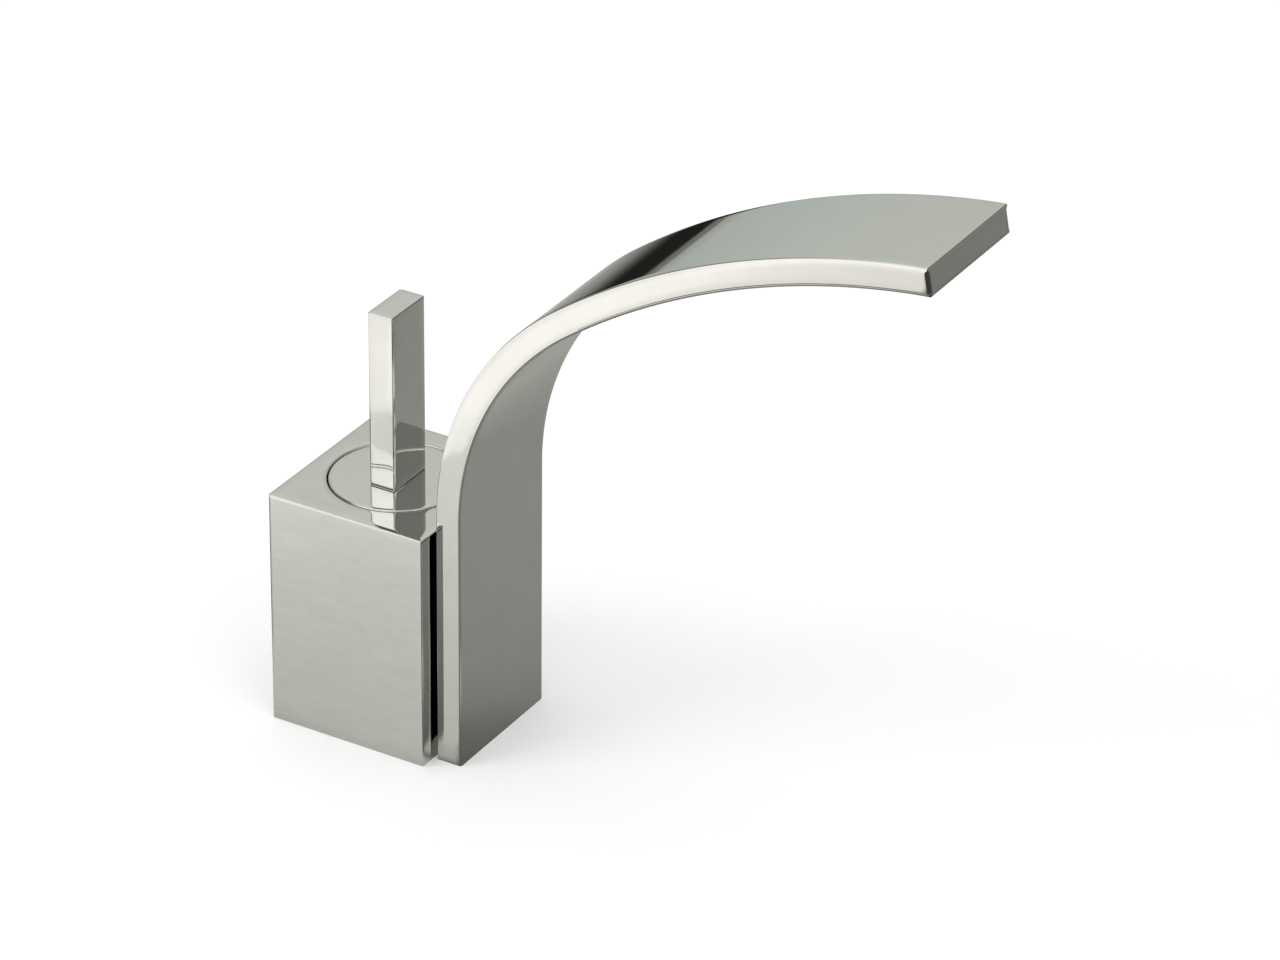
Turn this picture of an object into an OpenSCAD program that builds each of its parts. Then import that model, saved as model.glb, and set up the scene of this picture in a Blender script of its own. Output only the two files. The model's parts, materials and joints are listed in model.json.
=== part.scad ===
// Waterfall basin faucet: a square valve block with an upright joystick lever,
// and a flat hollow spout that rises beside the block and arches over the basin.
// X is the reach of the spout, Y the width, Z up; the origin is the centre of the block's base.

/* [Valve block] */
// Block size along the reach
block_x = 50; // [48:0.5:60]
// Block size across
block_y = 54; // [50:0.5:64]
// Block height
block_z = 72; // [68:0.5:90]
// Rounding of the block's upright edges
block_edge_r = 0.5; // [0.2:0.1:2]
// Chamfer round the block's top and bottom faces
block_rim = 0.4; // [0.1:0.1:1]

/* [Spout] */
// Width of the spout
spout_w = 43; // [38:0.5:50]
// Gap between the block and the spout's leg
spout_gap = 1.1; // [0.6:0.1:3]
// Thickness of the leg
leg_t = 7.8; // [7:0.1:10]
// Thickness of the arched blade
blade_t = 8.3; // [7.6:0.1:10]
// Height of the straight leg
leg_h = 77; // [60:1:110]
// Outer radius of the lower bend
bend_r = 92; // [60:1:120]
// Angle turned by the lower bend
bend_angle = 53.2; // [45:0.1:60]
// Outer radius of the long crown
crown_r = 223; // [150:1:300]
// Angle turned by the crown
crown_angle = 30.7; // [22:0.1:34]
// Lean of the tip's end face, lower edge forward
tip_rake = 12; // [0:0.5:20]
// Thickness of the upper skin
skin_t = 1.5; // [1:0.1:2]
// Thickness of the side walls
side_t = 1.6; // [1:0.1:3]
// Thickness of the lower plate
plate_t = 1; // [0.8:0.1:1.6]
// Thickness of the end plate
end_t = 2; // [1:0.1:4]
// Height of the solid foot inside the leg
foot_h = 14; // [12:0.5:16]

/* [Water outlet] */
// Length of the outlet slot across the blade
slot_l = 37; // [28:0.5:37]
// Width of the outlet slot along the blade
slot_w = 7; // [5:0.5:9]
// Distance from the tip to the middle of the slot
slot_back = 9; // [8:0.5:20]
// Thickness of the rubber frame in the slot
frame_seal_t = 0.5; // [0.3:0.1:0.8]
// Height of the flow straightener
straightener_h = 3.8; // [2.5:0.1:4.4]
// Wall of the flow straightener
straightener_wall = 0.7; // [0.5:0.1:1]
// Number of fins in the flow straightener
fin_count = 11; // [5:1:15]
// Thickness of each fin
fin_t = 0.6; // [0.4:0.1:1]

/* [Spout joint] */
// Height of the spigot that carries water into the leg
spigot_z = 22; // [21.5:0.5:24]
// Outer radius of the spigot
spigot_r = 6; // [5.5:0.1:6.5]
// Radius of the spigot's waterway
spigot_bore_r = 3.5; // [2.5:0.1:3.8]
// Depth that the spigot enters the block
spigot_in = 14.7; // [14.2:0.1:15.5]
// Thickness of the spigot's sealing rings
ring_t = 1.6; // [1.2:0.1:1.8]
// Distance from the spigot's inner end to the first ring
ring_first = 1.9; // [1.5:0.1:2.2]
// Distance between the two rings
ring_pitch = 2.8; // [2.4:0.1:3.2]
// Distance of the locking screw from the block's side
lock_in = 6.8; // [6:0.1:7.4]
// Radius of the locking screw
lock_r = 2; // [1.5:0.1:2.2]
// Radius of the locking screw's plain point
lock_point_r = 1.2; // [0.8:0.1:1.4]
// Length of the locking screw
lock_l = 10; // [8:0.5:12]
// Depth of the locking groove
lock_groove = 1; // [0.6:0.1:1.5]
// Radius of the two locating pins
pin_r = 2; // [1.5:0.1:2.2]
// Height of the locating pins above the deck
pin_z = 7; // [6:0.5:8]
// Distance between the locating pins
pin_span = 24; // [20:1:28]
// Depth of each locating pin in the block
pin_in = 8; // [6:0.5:10]
// Depth of each locating pin in the foot
pin_out = 3.5; // [2:0.1:4.5]

/* [Lever] */
// Lever thickness along the reach
lever_x = 8; // [7:0.1:10]
// Lever width
lever_y = 16.4; // [15.6:0.1:20]
// Lever height above the disc
lever_h = 54; // [40:0.5:70]
// Rounding of the lever's upright edges
lever_edge_r = 0.6; // [0.3:0.1:1.5]
// Chamfer round the lever's ends
lever_rim = 0.4; // [0.1:0.1:1]
// Thickness of the two tenons inside the lever's foot
tenon_x = 4; // [3:0.1:4.4]
// Height of the tenons
tenon_h = 8; // [5:0.5:12]
// Distance between the tenons
tenon_gap = 6.6; // [6:0.1:7]
// Width of each tenon
tenon_y = 3.4; // [2.5:0.1:3.6]
// Height of the lever's grub screw above the disc
grub_z = 5; // [3.5:0.1:5.5]
// Radius of the grub screw
grub_r = 1.5; // [1:0.1:1.6]
// Length of the grub screw
grub_l = 3; // [2.6:0.1:3.2]

/* [Handle disc] */
// Radius of the flush disc
disc_r = 19; // [18.5:0.1:19.6]
// Width of the visible groove round the disc
groove_w = 0.7; // [0.6:0.1:1]
// Thickness of the disc
disc_t = 3; // [2.5:0.1:3.4]
// Chamfer on the disc's upper edge
disc_rim = 0.3; // [0.1:0.1:0.6]
// Radius of the hub under the disc
hub_r = 5.5; // [5.2:0.1:6]
// Length of the hub under the disc
hub_h = 2.5; // [2:0.1:2.8]
// Depth of the stem's seat in the hub and disc
stem_seat = 4; // [3:0.1:4.3]
// Radius of the handle screw
screw_r = 1.5; // [1.2:0.1:1.7]
// Radius of the handle screw's head
screw_head_r = 2.75; // [2.4:0.05:2.9]
// Height of the handle screw's head
screw_head_h = 3; // [2:0.1:4]
// Depth of the handle screw in the stem
screw_in = 5; // [3:0.5:6]

/* [Lever pivot] */
// Depth of the pivot below the block's top
pivot_depth = 11; // [10.8:0.1:11.4]
// Largest tilt of the lever
tilt_max = 20; // [10:1:20]
// Largest turn of the lever either way
turn_max = 50; // [30:1:50]
// Thickness of the square stem
stem_w = 6; // [5:0.1:6.1]
// Distance from the pivot to the middle of the driving ball
arm = 12.5; // [11:0.1:12.8]
// Radius of the driving ball
ball_r = 2.5; // [2.2:0.1:2.6]
// Radius of the stem's tail
tail_r = 1.9; // [1.5:0.1:2]
// Length of the square stem below the pivot
square_drop = 5; // [3:0.5:6]
// Radius of the pivot pin
pivot_r = 1.25; // [1:0.05:1.3]
// Length of the pivot pin
pivot_l = 15.6; // [12:0.1:16]

/* [Cartridge] */
// Outer radius of the cartridge
shell_r = 17.5; // [17:0.1:17.6]
// Radius of the cartridge's inner chamber
cavity_r = 14.5; // [14.2:0.1:15]
// Radius of the stem carrier
carrier_r = 9; // [8.8:0.1:9.4]
// Outer radius of the cartridge's neck
neck_r = 11.5; // [11.2:0.1:12]
// Drop from the pivot to the neck's rim
neck_drop = 1; // [0.8:0.1:1.6]
// Rise of the carrier above the pivot
carrier_rise = 2; // [1.8:0.1:2.4]
// Thickness of the cartridge's roof
roof_t = 2.4; // [1.8:0.1:3]
// Radius of the carrier's flange
flange_r = 13; // [11.8:0.1:13.4]
// Thickness of the carrier's flange
flange_t = 1.4; // [1:0.1:2]
// Width of the carrier's two guide rails
rail_w = 2.4; // [1.6:0.1:2.8]
// Height of the guide rails
rail_h = 4; // [2.5:0.1:4.2]
// Width of the sliding driver
driver_w = 15.6; // [14:0.1:16]
// Height of the sliding driver
driver_h = 4.8; // [4.6:0.1:5.2]
// Floor of the driver under the ball
driver_floor = 0.3; // [0.2:0.1:0.5]
// Radius of the moving ceramic disc
moving_r = 11.8; // [11.2:0.1:12]
// Thickness of the moving ceramic disc
moving_t = 3; // [2.6:0.1:4]
// Radius of the mixing pocket under the moving disc
mix_r = 6.1; // [5.6:0.1:6.3]
// Length of the mixing pocket's straight stretch
mix_l = 3; // [2:0.1:4]
// Depth of the mixing pocket
mix_depth = 1.8; // [1:0.1:1.9]
// Radius of the fixed ceramic disc
fixed_r = 13.6; // [13.2:0.1:13.9]
// Thickness of the fixed ceramic disc
fixed_t = 3.5; // [2.8:0.1:4.5]
// Thickness of the cartridge's base
base_t = 5; // [4:0.1:7]
// Height of the base's lower rim
base_rim = 2.5; // [2:0.1:3]
// Height of the ring nut
nut_h = 5.5; // [4:0.1:7]
// Outer radius of the ring nut
nut_r = 18.9; // [18.6:0.1:19]
// Width of the ring nut's key slots
key_slot_w = 4; // [3:0.1:5]
// Depth of the ring nut's key slots
key_slot_d = 2; // [1:0.1:2.5]
// Height of the stop ring on the neck
stop_h = 1.6; // [1.4:0.1:2]
// Half angle of the carrier's stop lug
lug_angle = 9; // [6:0.5:12]
// Radius of the base's two pegs
peg_r = 1.5; // [1:0.1:1.6]
// Length of the pegs
peg_h = 2; // [1.5:0.1:2.5]

/* [Waterways] */
// Distance of the inlet ports from the cartridge's axis
port_ring_r = 9.2; // [9:0.1:9.4]
// Angle of each inlet port from the reach
port_angle = 35; // [33:0.5:37]
// Radius of the inlet ports
inlet_r = 2.3; // [1.8:0.1:2.4]
// Radius of the outlet port
outlet_r = 3.2; // [2.8:0.1:3.3]
// Distance of the outlet port behind the cartridge's axis
outlet_x = 2.5; // [2.2:0.1:2.8]
// Wall of each rubber port seal
seal_w = 1.2; // [0.9:0.1:1.3]
// Thickness of each rubber port seal
seal_t = 1.3; // [1:0.1:1.6]
// Minor radius of the threaded hose inlets
hose_r = 4.5; // [4:0.1:4.8]
// Depth of the threaded hose inlets
hose_depth = 12; // [10:0.5:13]
// Distance of the hose inlets in front of the block's axis
hose_x = 4; // [3:0.1:4.5]
// Distance between the hose inlets
hose_span = 21; // [20.4:0.1:22]
// Minor radius of the fixing stud's threaded hole
stud_r = 3.4; // [3:0.1:3.6]
// Depth of the fixing stud's hole
stud_depth = 15; // [12:0.5:16]
// Distance of the fixing stud behind the block's axis
stud_x = 12; // [11:0.1:13]

/* [Base seal] */
// Distance from the block's sides to the base seal
base_seal_in = 2; // [1.5:0.1:2.2]
// Width of the base seal
base_seal_w = 2.3; // [1.5:0.1:2.4]
// Thickness of the base seal
base_seal_t = 1.5; // [1:0.1:2.5]
// Corner radius of the base seal
base_seal_r = 4; // [2:0.5:6]

/* [Clearances] */
// Running clearance round turning parts
run_gap = 0.08; // [0.04:0.01:0.1]
// Clearance between sliding faces
slide_gap = 0.15; // [0.1:0.01:0.2]
// Clearance of parts that drop into a seat
seat_gap = 0.1; // [0.05:0.01:0.15]
// Film of grease between the ceramic discs
film = 0.02; // [0.01:0.01:0.05]
// Free height above the sliding driver
driver_gap = 0.3; // [0.2:0.05:0.5]
// Free space round the swinging disc
swing_gap = 0.4; // [0.3:0.05:0.5]

/* [Hidden] */
$fn = 96;
// Overrun of every cut past the face that it opens
over = 1;
// Extra reach of the wedges that trim the spout's arcs
wrap = 4;
// Half length of the bridge between the spout's arcs, and its depth below either face as a share
bridge_l = 1;
bridge_share = 0.1;
// Number of key slots in the ring nut
key_slot_count = 4;
// Angle left free between the stop lug and its ring at full turn
stop_play = 1;
// Turn of a slanted hole about itself, which puts its seam on its side
seam_turn = 90;

// Heights of the lever pivot and of the cartridge stacked under it
pivot_z = block_z - pivot_depth;
neck_z = pivot_z - neck_drop;
shoulder_z = neck_z - nut_h;
ceiling_z = shoulder_z - roof_t;
flange_z = ceiling_z - run_gap - flange_t;
driver_z = flange_z - driver_gap - driver_h;
moving_z = driver_z - moving_t;
fixed_z = moving_z - film - fixed_t;
floor_z = fixed_z - base_t;
disc_z = block_z - disc_t;
hub_z = disc_z - hub_h;

// The disc swings on this sphere round the pivot, inside a larger hollow one
swing_r = norm([disc_r, pivot_depth]);
hollow_r = swing_r + swing_gap;
mouth_r = disc_r + groove_w;
nut_bore_r = nut_r + seat_gap;
chamber_r = shell_r + seat_gap;

// The stem's ball moves the driver this far, and the driver rests half of it back
travel = arm * sin(tilt_max);
moving_x = -travel / 2;
driver_r = moving_r - slide_gap;
rail_in = driver_w / 2 + slide_gap;

// Pegs that join the driver to the moving disc, either side of the ball
function drive_x(s) = moving_x + s * (moving_r + mix_r) / 2;

// Seat of the carrier's sealing ring
carrier_ring_z = (shoulder_z + neck_z) / 2;
carrier_groove_r = carrier_r - ring_t + 2 * run_gap;

// Waterway places on the chamber floor
inlet_xy = [for (s = [-1, 1]) [port_ring_r * cos(port_angle), s * port_ring_r * sin(port_angle)]];
hose_xy = [for (s = [-1, 1]) [hose_x, s * hose_span / 2]];
port_xyr = [for (p = inlet_xy) [p[0], p[1], inlet_r], [-outlet_x, 0, outlet_r]];

// Pegs under the cartridge, behind the outlet port
function peg_xy(s) = [-port_ring_r, s * (cavity_r - port_ring_r + outlet_r)];

// Outline of the spout: depth is measured inwards from the outer surface,
// and the inner surface lies nearer in the leg than in the blade
leg_face_x = block_x / 2 + spout_gap;
crown_start = 90 - bend_angle;
tip_heading = crown_start - crown_angle;
plate_in = blade_t - plate_t;
function thin(d) = d * (blade_t - leg_t) / blade_t;
function leg_x(d) = leg_face_x + d - thin(d);
function outward(heading) = [-sin(heading), cos(heading)];
function bend_c(d) = [leg_face_x + bend_r - thin(d), leg_h];
function crown_c(d) = bend_c(d) + (bend_r - crown_r) * outward(crown_start);
function joint_at(d) = bend_c(d) + (bend_r - d) * outward(crown_start);
function tip_at(back) = crown_c(0) + crown_r * outward(tip_heading) - back * [cos(tip_rake), sin(tip_rake)];
channel_w = spout_w - 2 * side_t;

// The outlet sits square to the blade's lower face
slot_heading = tip_heading + slot_back / (crown_r - blade_t) * 180 / PI;
slot_at = crown_c(blade_t) + (crown_r - blade_t) * outward(slot_heading);
slot_flush = slot_w * slot_w / (8 * (crown_r - blade_t)) + film;

// Spigot places along the reach
spigot_x = block_x / 2 - spigot_in;
lock_x = block_x / 2 - lock_in;
ring_groove_r = spigot_r - ring_t + 2 * run_gap;

chrome_color = [0.76, 0.77, 0.75];
brass_color = [0.8, 0.68, 0.38];
steel_color = [0.6, 0.61, 0.62];
rubber_color = [0.12, 0.12, 0.13];
ceramic_color = [0.93, 0.92, 0.88];
plastic_color = [0.82, 0.83, 0.85];
carrier_color = [0.35, 0.45, 0.6];

// Rectangle with round corners
module round_rect(size, r) {
    square([size[0], size[1] - 2 * r], center = true);
    square([size[0] - 2 * r, size[1]], center = true);
    for (x = [-1, 1], y = [-1, 1])
        translate([x * (size[0] / 2 - r), y * (size[1] / 2 - r)]) circle(r);
}

// Side view of a bar whose end faces have a small chamfer
module rimmed_side(w, h, rim) {
    polygon([[-w / 2 + rim, 0], [w / 2 - rim, 0], [w / 2, rim], [w / 2, h - rim],
             [w / 2 - rim, h], [-w / 2 + rim, h], [-w / 2, h - rim], [-w / 2, rim]]);
}

// Upright bar with rounded upright edges and chamfered ends
module soft_bar(size, edge_r, rim) {
    intersection() {
        linear_extrude(size[2]) round_rect(size, edge_r);
        rotate([90, 0, 0]) linear_extrude(size[1] + 2 * over, center = true)
            rimmed_side(size[0], size[2], rim);
        rotate([90, 0, 90]) linear_extrude(size[0] + 2 * over, center = true)
            rimmed_side(size[1], size[2], rim);
    }
}

// Cylinder between two points, run past both
module drill(a, b, r) {
    along = (b - a) / norm(b - a);
    translate(a - over * along) rotate([0, acos(along[2]), atan2(along[1], along[0])])
        rotate([0, 0, seam_turn]) cylinder(h = norm(b - a) + 2 * over, r = r);
}

// Flat ring
module washer(outer_r, inner_r, h) {
    difference() {
        cylinder(h = h, r = outer_r);
        translate([0, 0, -over]) cylinder(h = h + 2 * over, r = inner_r);
    }
}

// Round ring of circular section
module o_ring(mid_r, section_r) {
    rotate_extrude() translate([mid_r, 0]) circle(section_r);
}

// Cylinder laid along the reach
module along_x(x0, x1, r) {
    translate([x0, 0, 0]) rotate([0, 90, 0]) cylinder(h = x1 - x0, r = r);
}

// Points on the line of the tip's end face, or of one further back
function tip_out(back) = tip_at(back) + wrap * [-sin(tip_rake), cos(tip_rake)];
function tip_in(back) = tip_at(back) - (blade_t + 2 * wrap) * [-sin(tip_rake), cos(tip_rake)];

// Stretch of an arched layer, between two circles and inside a polygon
module arched(c0, r0, c1, r1, corners) {
    intersection() {
        difference() {
            translate(c0) circle(r0);
            translate(c1) circle(r1);
        }
        polygon(corners);
    }
}

// Part of the spout's outline between two depths
module spout_band(d0, d1) {
    far = blade_t + wrap;
    joint_out = joint_at(-wrap);
    joint_in = joint_at(far);
    translate([leg_x(d0), 0]) square([leg_x(d1) - leg_x(d0), leg_h]);
    arched(bend_c(d0), bend_r - d0, bend_c(d1), bend_r - d1,
           [[leg_x(far), leg_h], [leg_x(-wrap), leg_h], [leg_x(-wrap), joint_out[1]], joint_out, joint_in]);
    arched(crown_c(d0), crown_r - d0, crown_c(d1), crown_r - d1,
           [joint_in, joint_out, [joint_out[0], tip_out(0)[1]], tip_out(0), tip_in(0)]);
    // The two arcs only meet on a line, so a short bridge inside them makes one piece of them
    inset = bridge_share * (d1 - d0);
    reach = bridge_l * [cos(crown_start), sin(crown_start)];
    polygon([joint_at(d0 + inset) - reach, joint_at(d0 + inset) + reach,
             joint_at(d1 - inset) + reach, joint_at(d1 - inset) - reach]);
}

// The same outline given a width
module spout_strip(d0, d1, w) {
    rotate([90, 0, 0]) linear_extrude(w, center = true) spout_band(d0, d1);
}

// Puts things at the outlet, with Z square to the blade
module at_slot() {
    translate([slot_at[0], 0, slot_at[1]]) rotate([0, -slot_heading, 0]) children();
}

// Rectangular frame round the outlet, from one height to another
module slot_frame(outer_gap, wall, z0, z1) {
    translate([0, 0, z0]) linear_extrude(z1 - z0) difference() {
        square([slot_w - 2 * outer_gap, slot_l - 2 * outer_gap], center = true);
        square([slot_w - 2 * (outer_gap + wall), slot_l - 2 * (outer_gap + wall)], center = true);
    }
}

// Room in which the handle disc swings and turns
module handle_hollow() {
    translate([0, 0, block_z - pivot_depth]) cylinder(h = pivot_depth + over, r = mouth_r);
    intersection() {
        translate([0, 0, pivot_z]) sphere(hollow_r);
        translate([0, 0, neck_z + neck_drop / 2]) cylinder(h = pivot_depth, r = hollow_r);
    }
}

module base_seal_outline() {
    difference() {
        round_rect([block_x - 2 * base_seal_in, block_y - 2 * base_seal_in], base_seal_r);
        round_rect([block_x - 2 * (base_seal_in + base_seal_w), block_y - 2 * (base_seal_in + base_seal_w)],
                   base_seal_r - base_seal_w / 2);
    }
}

module valve_block() {
    color(chrome_color) difference() {
        soft_bar([block_x, block_y, block_z], block_edge_r, block_rim);
        handle_hollow();
        translate([0, 0, shoulder_z]) cylinder(h = pivot_z - shoulder_z, r = nut_bore_r);
        translate([0, 0, floor_z]) cylinder(h = pivot_z - floor_z, r = chamber_r);
        // Waterways: two hose inlets to the chamber floor, and the outlet to the spigot
        for (i = [0, 1]) {
            translate([hose_xy[i][0], hose_xy[i][1], -over]) cylinder(h = hose_depth + over, r = hose_r);
            translate([hose_xy[i][0], hose_xy[i][1], hose_depth]) cylinder(h = hose_r / 2, r1 = hose_r, r2 = 0);
            drill([hose_xy[i][0], hose_xy[i][1], hose_depth], [inlet_xy[i][0], inlet_xy[i][1], floor_z],
                  inlet_r);
        }
        translate([-outlet_x, 0, spigot_z - spigot_bore_r / 2])
            cylinder(h = floor_z - spigot_z + spigot_r, r = outlet_r);
        translate([0, 0, spigot_z]) {
            along_x(-outlet_x - outlet_r / 2, spigot_x, spigot_bore_r);
            along_x(spigot_x - seat_gap, block_x / 2 + over, spigot_r + run_gap);
        }
        translate([-stud_x, 0, -over]) cylinder(h = stud_depth + over, r = stud_r);
        translate([lock_x, 0, -over]) cylinder(h = spigot_z + over, r = lock_r);
        for (s = [-1, 1]) {
            translate([0, s * pin_span / 2, pin_z]) along_x(block_x / 2 - pin_in, block_x / 2 + over, pin_r);
            translate([peg_xy(s)[0], peg_xy(s)[1], floor_z - peg_h - seat_gap])
                cylinder(h = peg_h + seat_gap + over, r = peg_r + seat_gap);
        }
        translate([0, 0, -over]) linear_extrude(base_seal_t + over) base_seal_outline();
    }
}

module base_seal() {
    color(rubber_color) linear_extrude(base_seal_t) base_seal_outline();
}

module spout_shell() {
    color(chrome_color) difference() {
        spout_strip(0, plate_in, spout_w);
        spout_strip(skin_t, blade_t, channel_w);
        translate([0, 0, spigot_z]) along_x(leg_face_x - over, leg_x(skin_t) + over, spigot_r);
        for (s = [-1, 1])
            translate([0, s * pin_span / 2, pin_z]) along_x(leg_face_x - over, leg_x(skin_t) + over, pin_r);
    }
}

module spout_underside() {
    color(chrome_color) difference() {
        spout_strip(plate_in, blade_t, spout_w);
        at_slot() translate([0, 0, plate_t / 2]) cube([slot_w, slot_l, plate_t + 2 * over], center = true);
    }
}

module spout_end_plate() {
    color(chrome_color) rotate([90, 0, 0]) linear_extrude(channel_w, center = true)
        arched(crown_c(skin_t), crown_r - skin_t, crown_c(plate_in), crown_r - plate_in,
               [tip_in(end_t), tip_out(end_t), tip_out(0), tip_in(0)]);
}

module spout_foot() {
    color(brass_color) difference() {
        translate([leg_x(skin_t), -channel_w / 2, 0])
            cube([leg_x(plate_in) - leg_x(skin_t), channel_w, foot_h]);
        for (s = [-1, 1])
            translate([0, s * pin_span / 2, pin_z])
                along_x(leg_face_x, leg_x(skin_t) + pin_out, pin_r);
    }
}

module outlet_straightener() {
    gap = frame_seal_t + seat_gap;
    color(plastic_color) at_slot() {
        slot_frame(gap, straightener_wall, slot_flush, straightener_h);
        pitch = (slot_l - 2 * gap - straightener_wall) / (fin_count + 1);
        for (i = [1 : fin_count])
            translate([0, -(slot_l - straightener_wall) / 2 + gap + i * pitch, (slot_flush + straightener_h) / 2])
                cube([slot_w - 2 * gap - straightener_wall, fin_t, straightener_h - slot_flush], center = true);
    }
}

module outlet_seal() {
    color(rubber_color) at_slot() slot_frame(0, frame_seal_t, slot_flush, plate_t);
}

module spout_spigot() {
    color(brass_color) translate([0, 0, spigot_z]) difference() {
        along_x(spigot_x, leg_x(skin_t), spigot_r);
        along_x(spigot_x - over, leg_x(skin_t) + over, spigot_bore_r);
        for (i = [0, 1]) translate([spigot_x + ring_first + i * ring_pitch, 0, 0])
            rotate([0, 90, 0]) translate([0, 0, -ring_t / 2]) washer(spigot_r + over, ring_groove_r, ring_t);
        translate([lock_x - lock_point_r - seat_gap, 0, 0]) rotate([0, 90, 0])
            washer(spigot_r + over, spigot_r - lock_groove, 2 * (lock_point_r + seat_gap));
    }
}

module spigot_rings() {
    section_r = (spigot_r + run_gap - ring_groove_r) / 2 - film / 2;
    color(rubber_color) for (i = [0, 1])
        translate([spigot_x + ring_first + i * ring_pitch, 0, spigot_z]) rotate([0, 90, 0])
            o_ring(ring_groove_r + section_r + film / 2, section_r);
}

module spigot_lock_screw() {
    tip_z = spigot_z - spigot_r + lock_groove - film;
    shoulder = spigot_z - spigot_r - 2 * run_gap - seat_gap;
    color(steel_color) difference() {
        union() {
            translate([lock_x, 0, shoulder - lock_l]) cylinder(h = lock_l, r = lock_r);
            translate([lock_x, 0, shoulder - lock_r]) cylinder(h = tip_z - shoulder + lock_r, r = lock_point_r);
        }
        translate([lock_x, 0, shoulder - lock_l - over]) cylinder(h = lock_r + over, r = lock_point_r, $fn = 6);
    }
}

module spout_pins() {
    color(steel_color) for (s = [-1, 1])
        translate([0, s * pin_span / 2, pin_z])
            along_x(block_x / 2 - pin_in, leg_x(skin_t) + pin_out, pin_r);
}

module cartridge_housing() {
    color(plastic_color) difference() {
        union() {
            translate([0, 0, floor_z + base_rim]) cylinder(h = shoulder_z - floor_z - base_rim, r = shell_r);
            translate([0, 0, shoulder_z]) cylinder(h = neck_z - shoulder_z, r = neck_r);
        }
        translate([0, 0, floor_z]) cylinder(h = ceiling_z - floor_z, r = cavity_r);
        translate([0, 0, floor_z]) cylinder(h = neck_z - floor_z + over, r = carrier_r + run_gap);
    }
}

// Key of the fixed disc, standing on the base at either side
module disc_key(grow) {
    for (s = [-1, 1])
        translate([0, s * (fixed_r + (cavity_r - fixed_r) / 2 - seal_w), fixed_z - over])
            linear_extrude(fixed_t / 2 + over + grow) square([2 * (seal_w + grow), 2 * (seal_w + grow)], center = true);
}

module cartridge_base() {
    color(plastic_color) difference() {
        union() {
            translate([0, 0, floor_z]) cylinder(h = base_rim, r = shell_r);
            translate([0, 0, floor_z]) cylinder(h = base_t, r = cavity_r - seat_gap);
            intersection() {
                disc_key(0);
                translate([0, 0, floor_z]) cylinder(h = base_t + fixed_t, r = cavity_r - seat_gap);
            }
            for (s = [-1, 1])
                translate([peg_xy(s)[0], peg_xy(s)[1], floor_z - peg_h]) cylinder(h = peg_h + base_rim, r = peg_r);
        }
        for (p = port_xyr) translate([p[0], p[1], floor_z]) {
            translate([0, 0, -over]) cylinder(h = base_t + 2 * over, r = p[2]);
            translate([0, 0, -over]) cylinder(h = seal_t + over, r = p[2] + seal_w);
            translate([0, 0, base_t - seal_t]) cylinder(h = seal_t + over, r = p[2] + seal_w);
        }
    }
}

// One seal round each port
module seals_at(z) {
    for (p = port_xyr) translate([p[0], p[1], z]) washer(p[2] + seal_w, p[2], seal_t);
}

module port_seals() {
    color(rubber_color) seals_at(floor_z);
}

module disc_seals() {
    color(rubber_color) seals_at(fixed_z - seal_t);
}

module fixed_ceramic_disc() {
    color(ceramic_color) difference() {
        translate([0, 0, fixed_z]) cylinder(h = fixed_t, r = fixed_r);
        disc_key(seat_gap);
        for (p = port_xyr) translate([p[0], p[1], fixed_z - over]) cylinder(h = fixed_t + 2 * over, r = p[2]);
    }
}

module cartridge_nut() {
    color(brass_color) difference() {
        translate([0, 0, shoulder_z]) washer(nut_r, neck_r + 2 * seat_gap, nut_h);
        for (i = [0 : key_slot_count - 1])
            rotate([0, 0, i * 360 / key_slot_count + 180 / key_slot_count])
                translate([neck_r - over, -key_slot_w / 2, neck_z - key_slot_d])
                    cube([nut_r - neck_r + 2 * over, key_slot_w, key_slot_d + over]);
    }
}

// Sector of a ring, centred on the side away from the spout
module ring_sector(outer_r, inner_r, h, half_angle) {
    rotate([0, 0, 180 - half_angle]) rotate_extrude(angle = 2 * half_angle)
        translate([inner_r, 0]) square([outer_r - inner_r, h]);
}

module stop_ring() {
    open_half = turn_max + lug_angle + stop_play;
    color(rubber_color) translate([0, 0, neck_z]) rotate([0, 0, 180])
        ring_sector(neck_r, carrier_r + 2 * slide_gap, stop_h, 180 - open_half);
}

module stem_carrier() {
    color(carrier_color) difference() {
        union() {
            translate([0, 0, flange_z]) cylinder(h = pivot_z + carrier_rise - flange_z, r = carrier_r);
            translate([0, 0, flange_z]) cylinder(h = flange_t, r = flange_r);
            intersection() {
                for (s = [-1, 1])
                    translate([-flange_r, s * (rail_in + rail_w / 2) - rail_w / 2, flange_z - rail_h])
                        cube([2 * flange_r, rail_w, rail_h + flange_t]);
                translate([0, 0, flange_z - rail_h]) cylinder(h = rail_h + flange_t, r = flange_r);
            }
            translate([0, 0, neck_z + slide_gap])
                ring_sector(neck_r - slide_gap, carrier_r - run_gap, pivot_z + carrier_rise - neck_z - slide_gap,
                            lug_angle);
        }
        stem_slot();
        translate([0, 0, pivot_z]) rotate([90, 0, 0]) cylinder(h = pivot_l, r = pivot_r, center = true);
        translate([0, 0, carrier_ring_z - ring_t / 2]) washer(carrier_r + over, carrier_groove_r, ring_t);
    }
}

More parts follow.
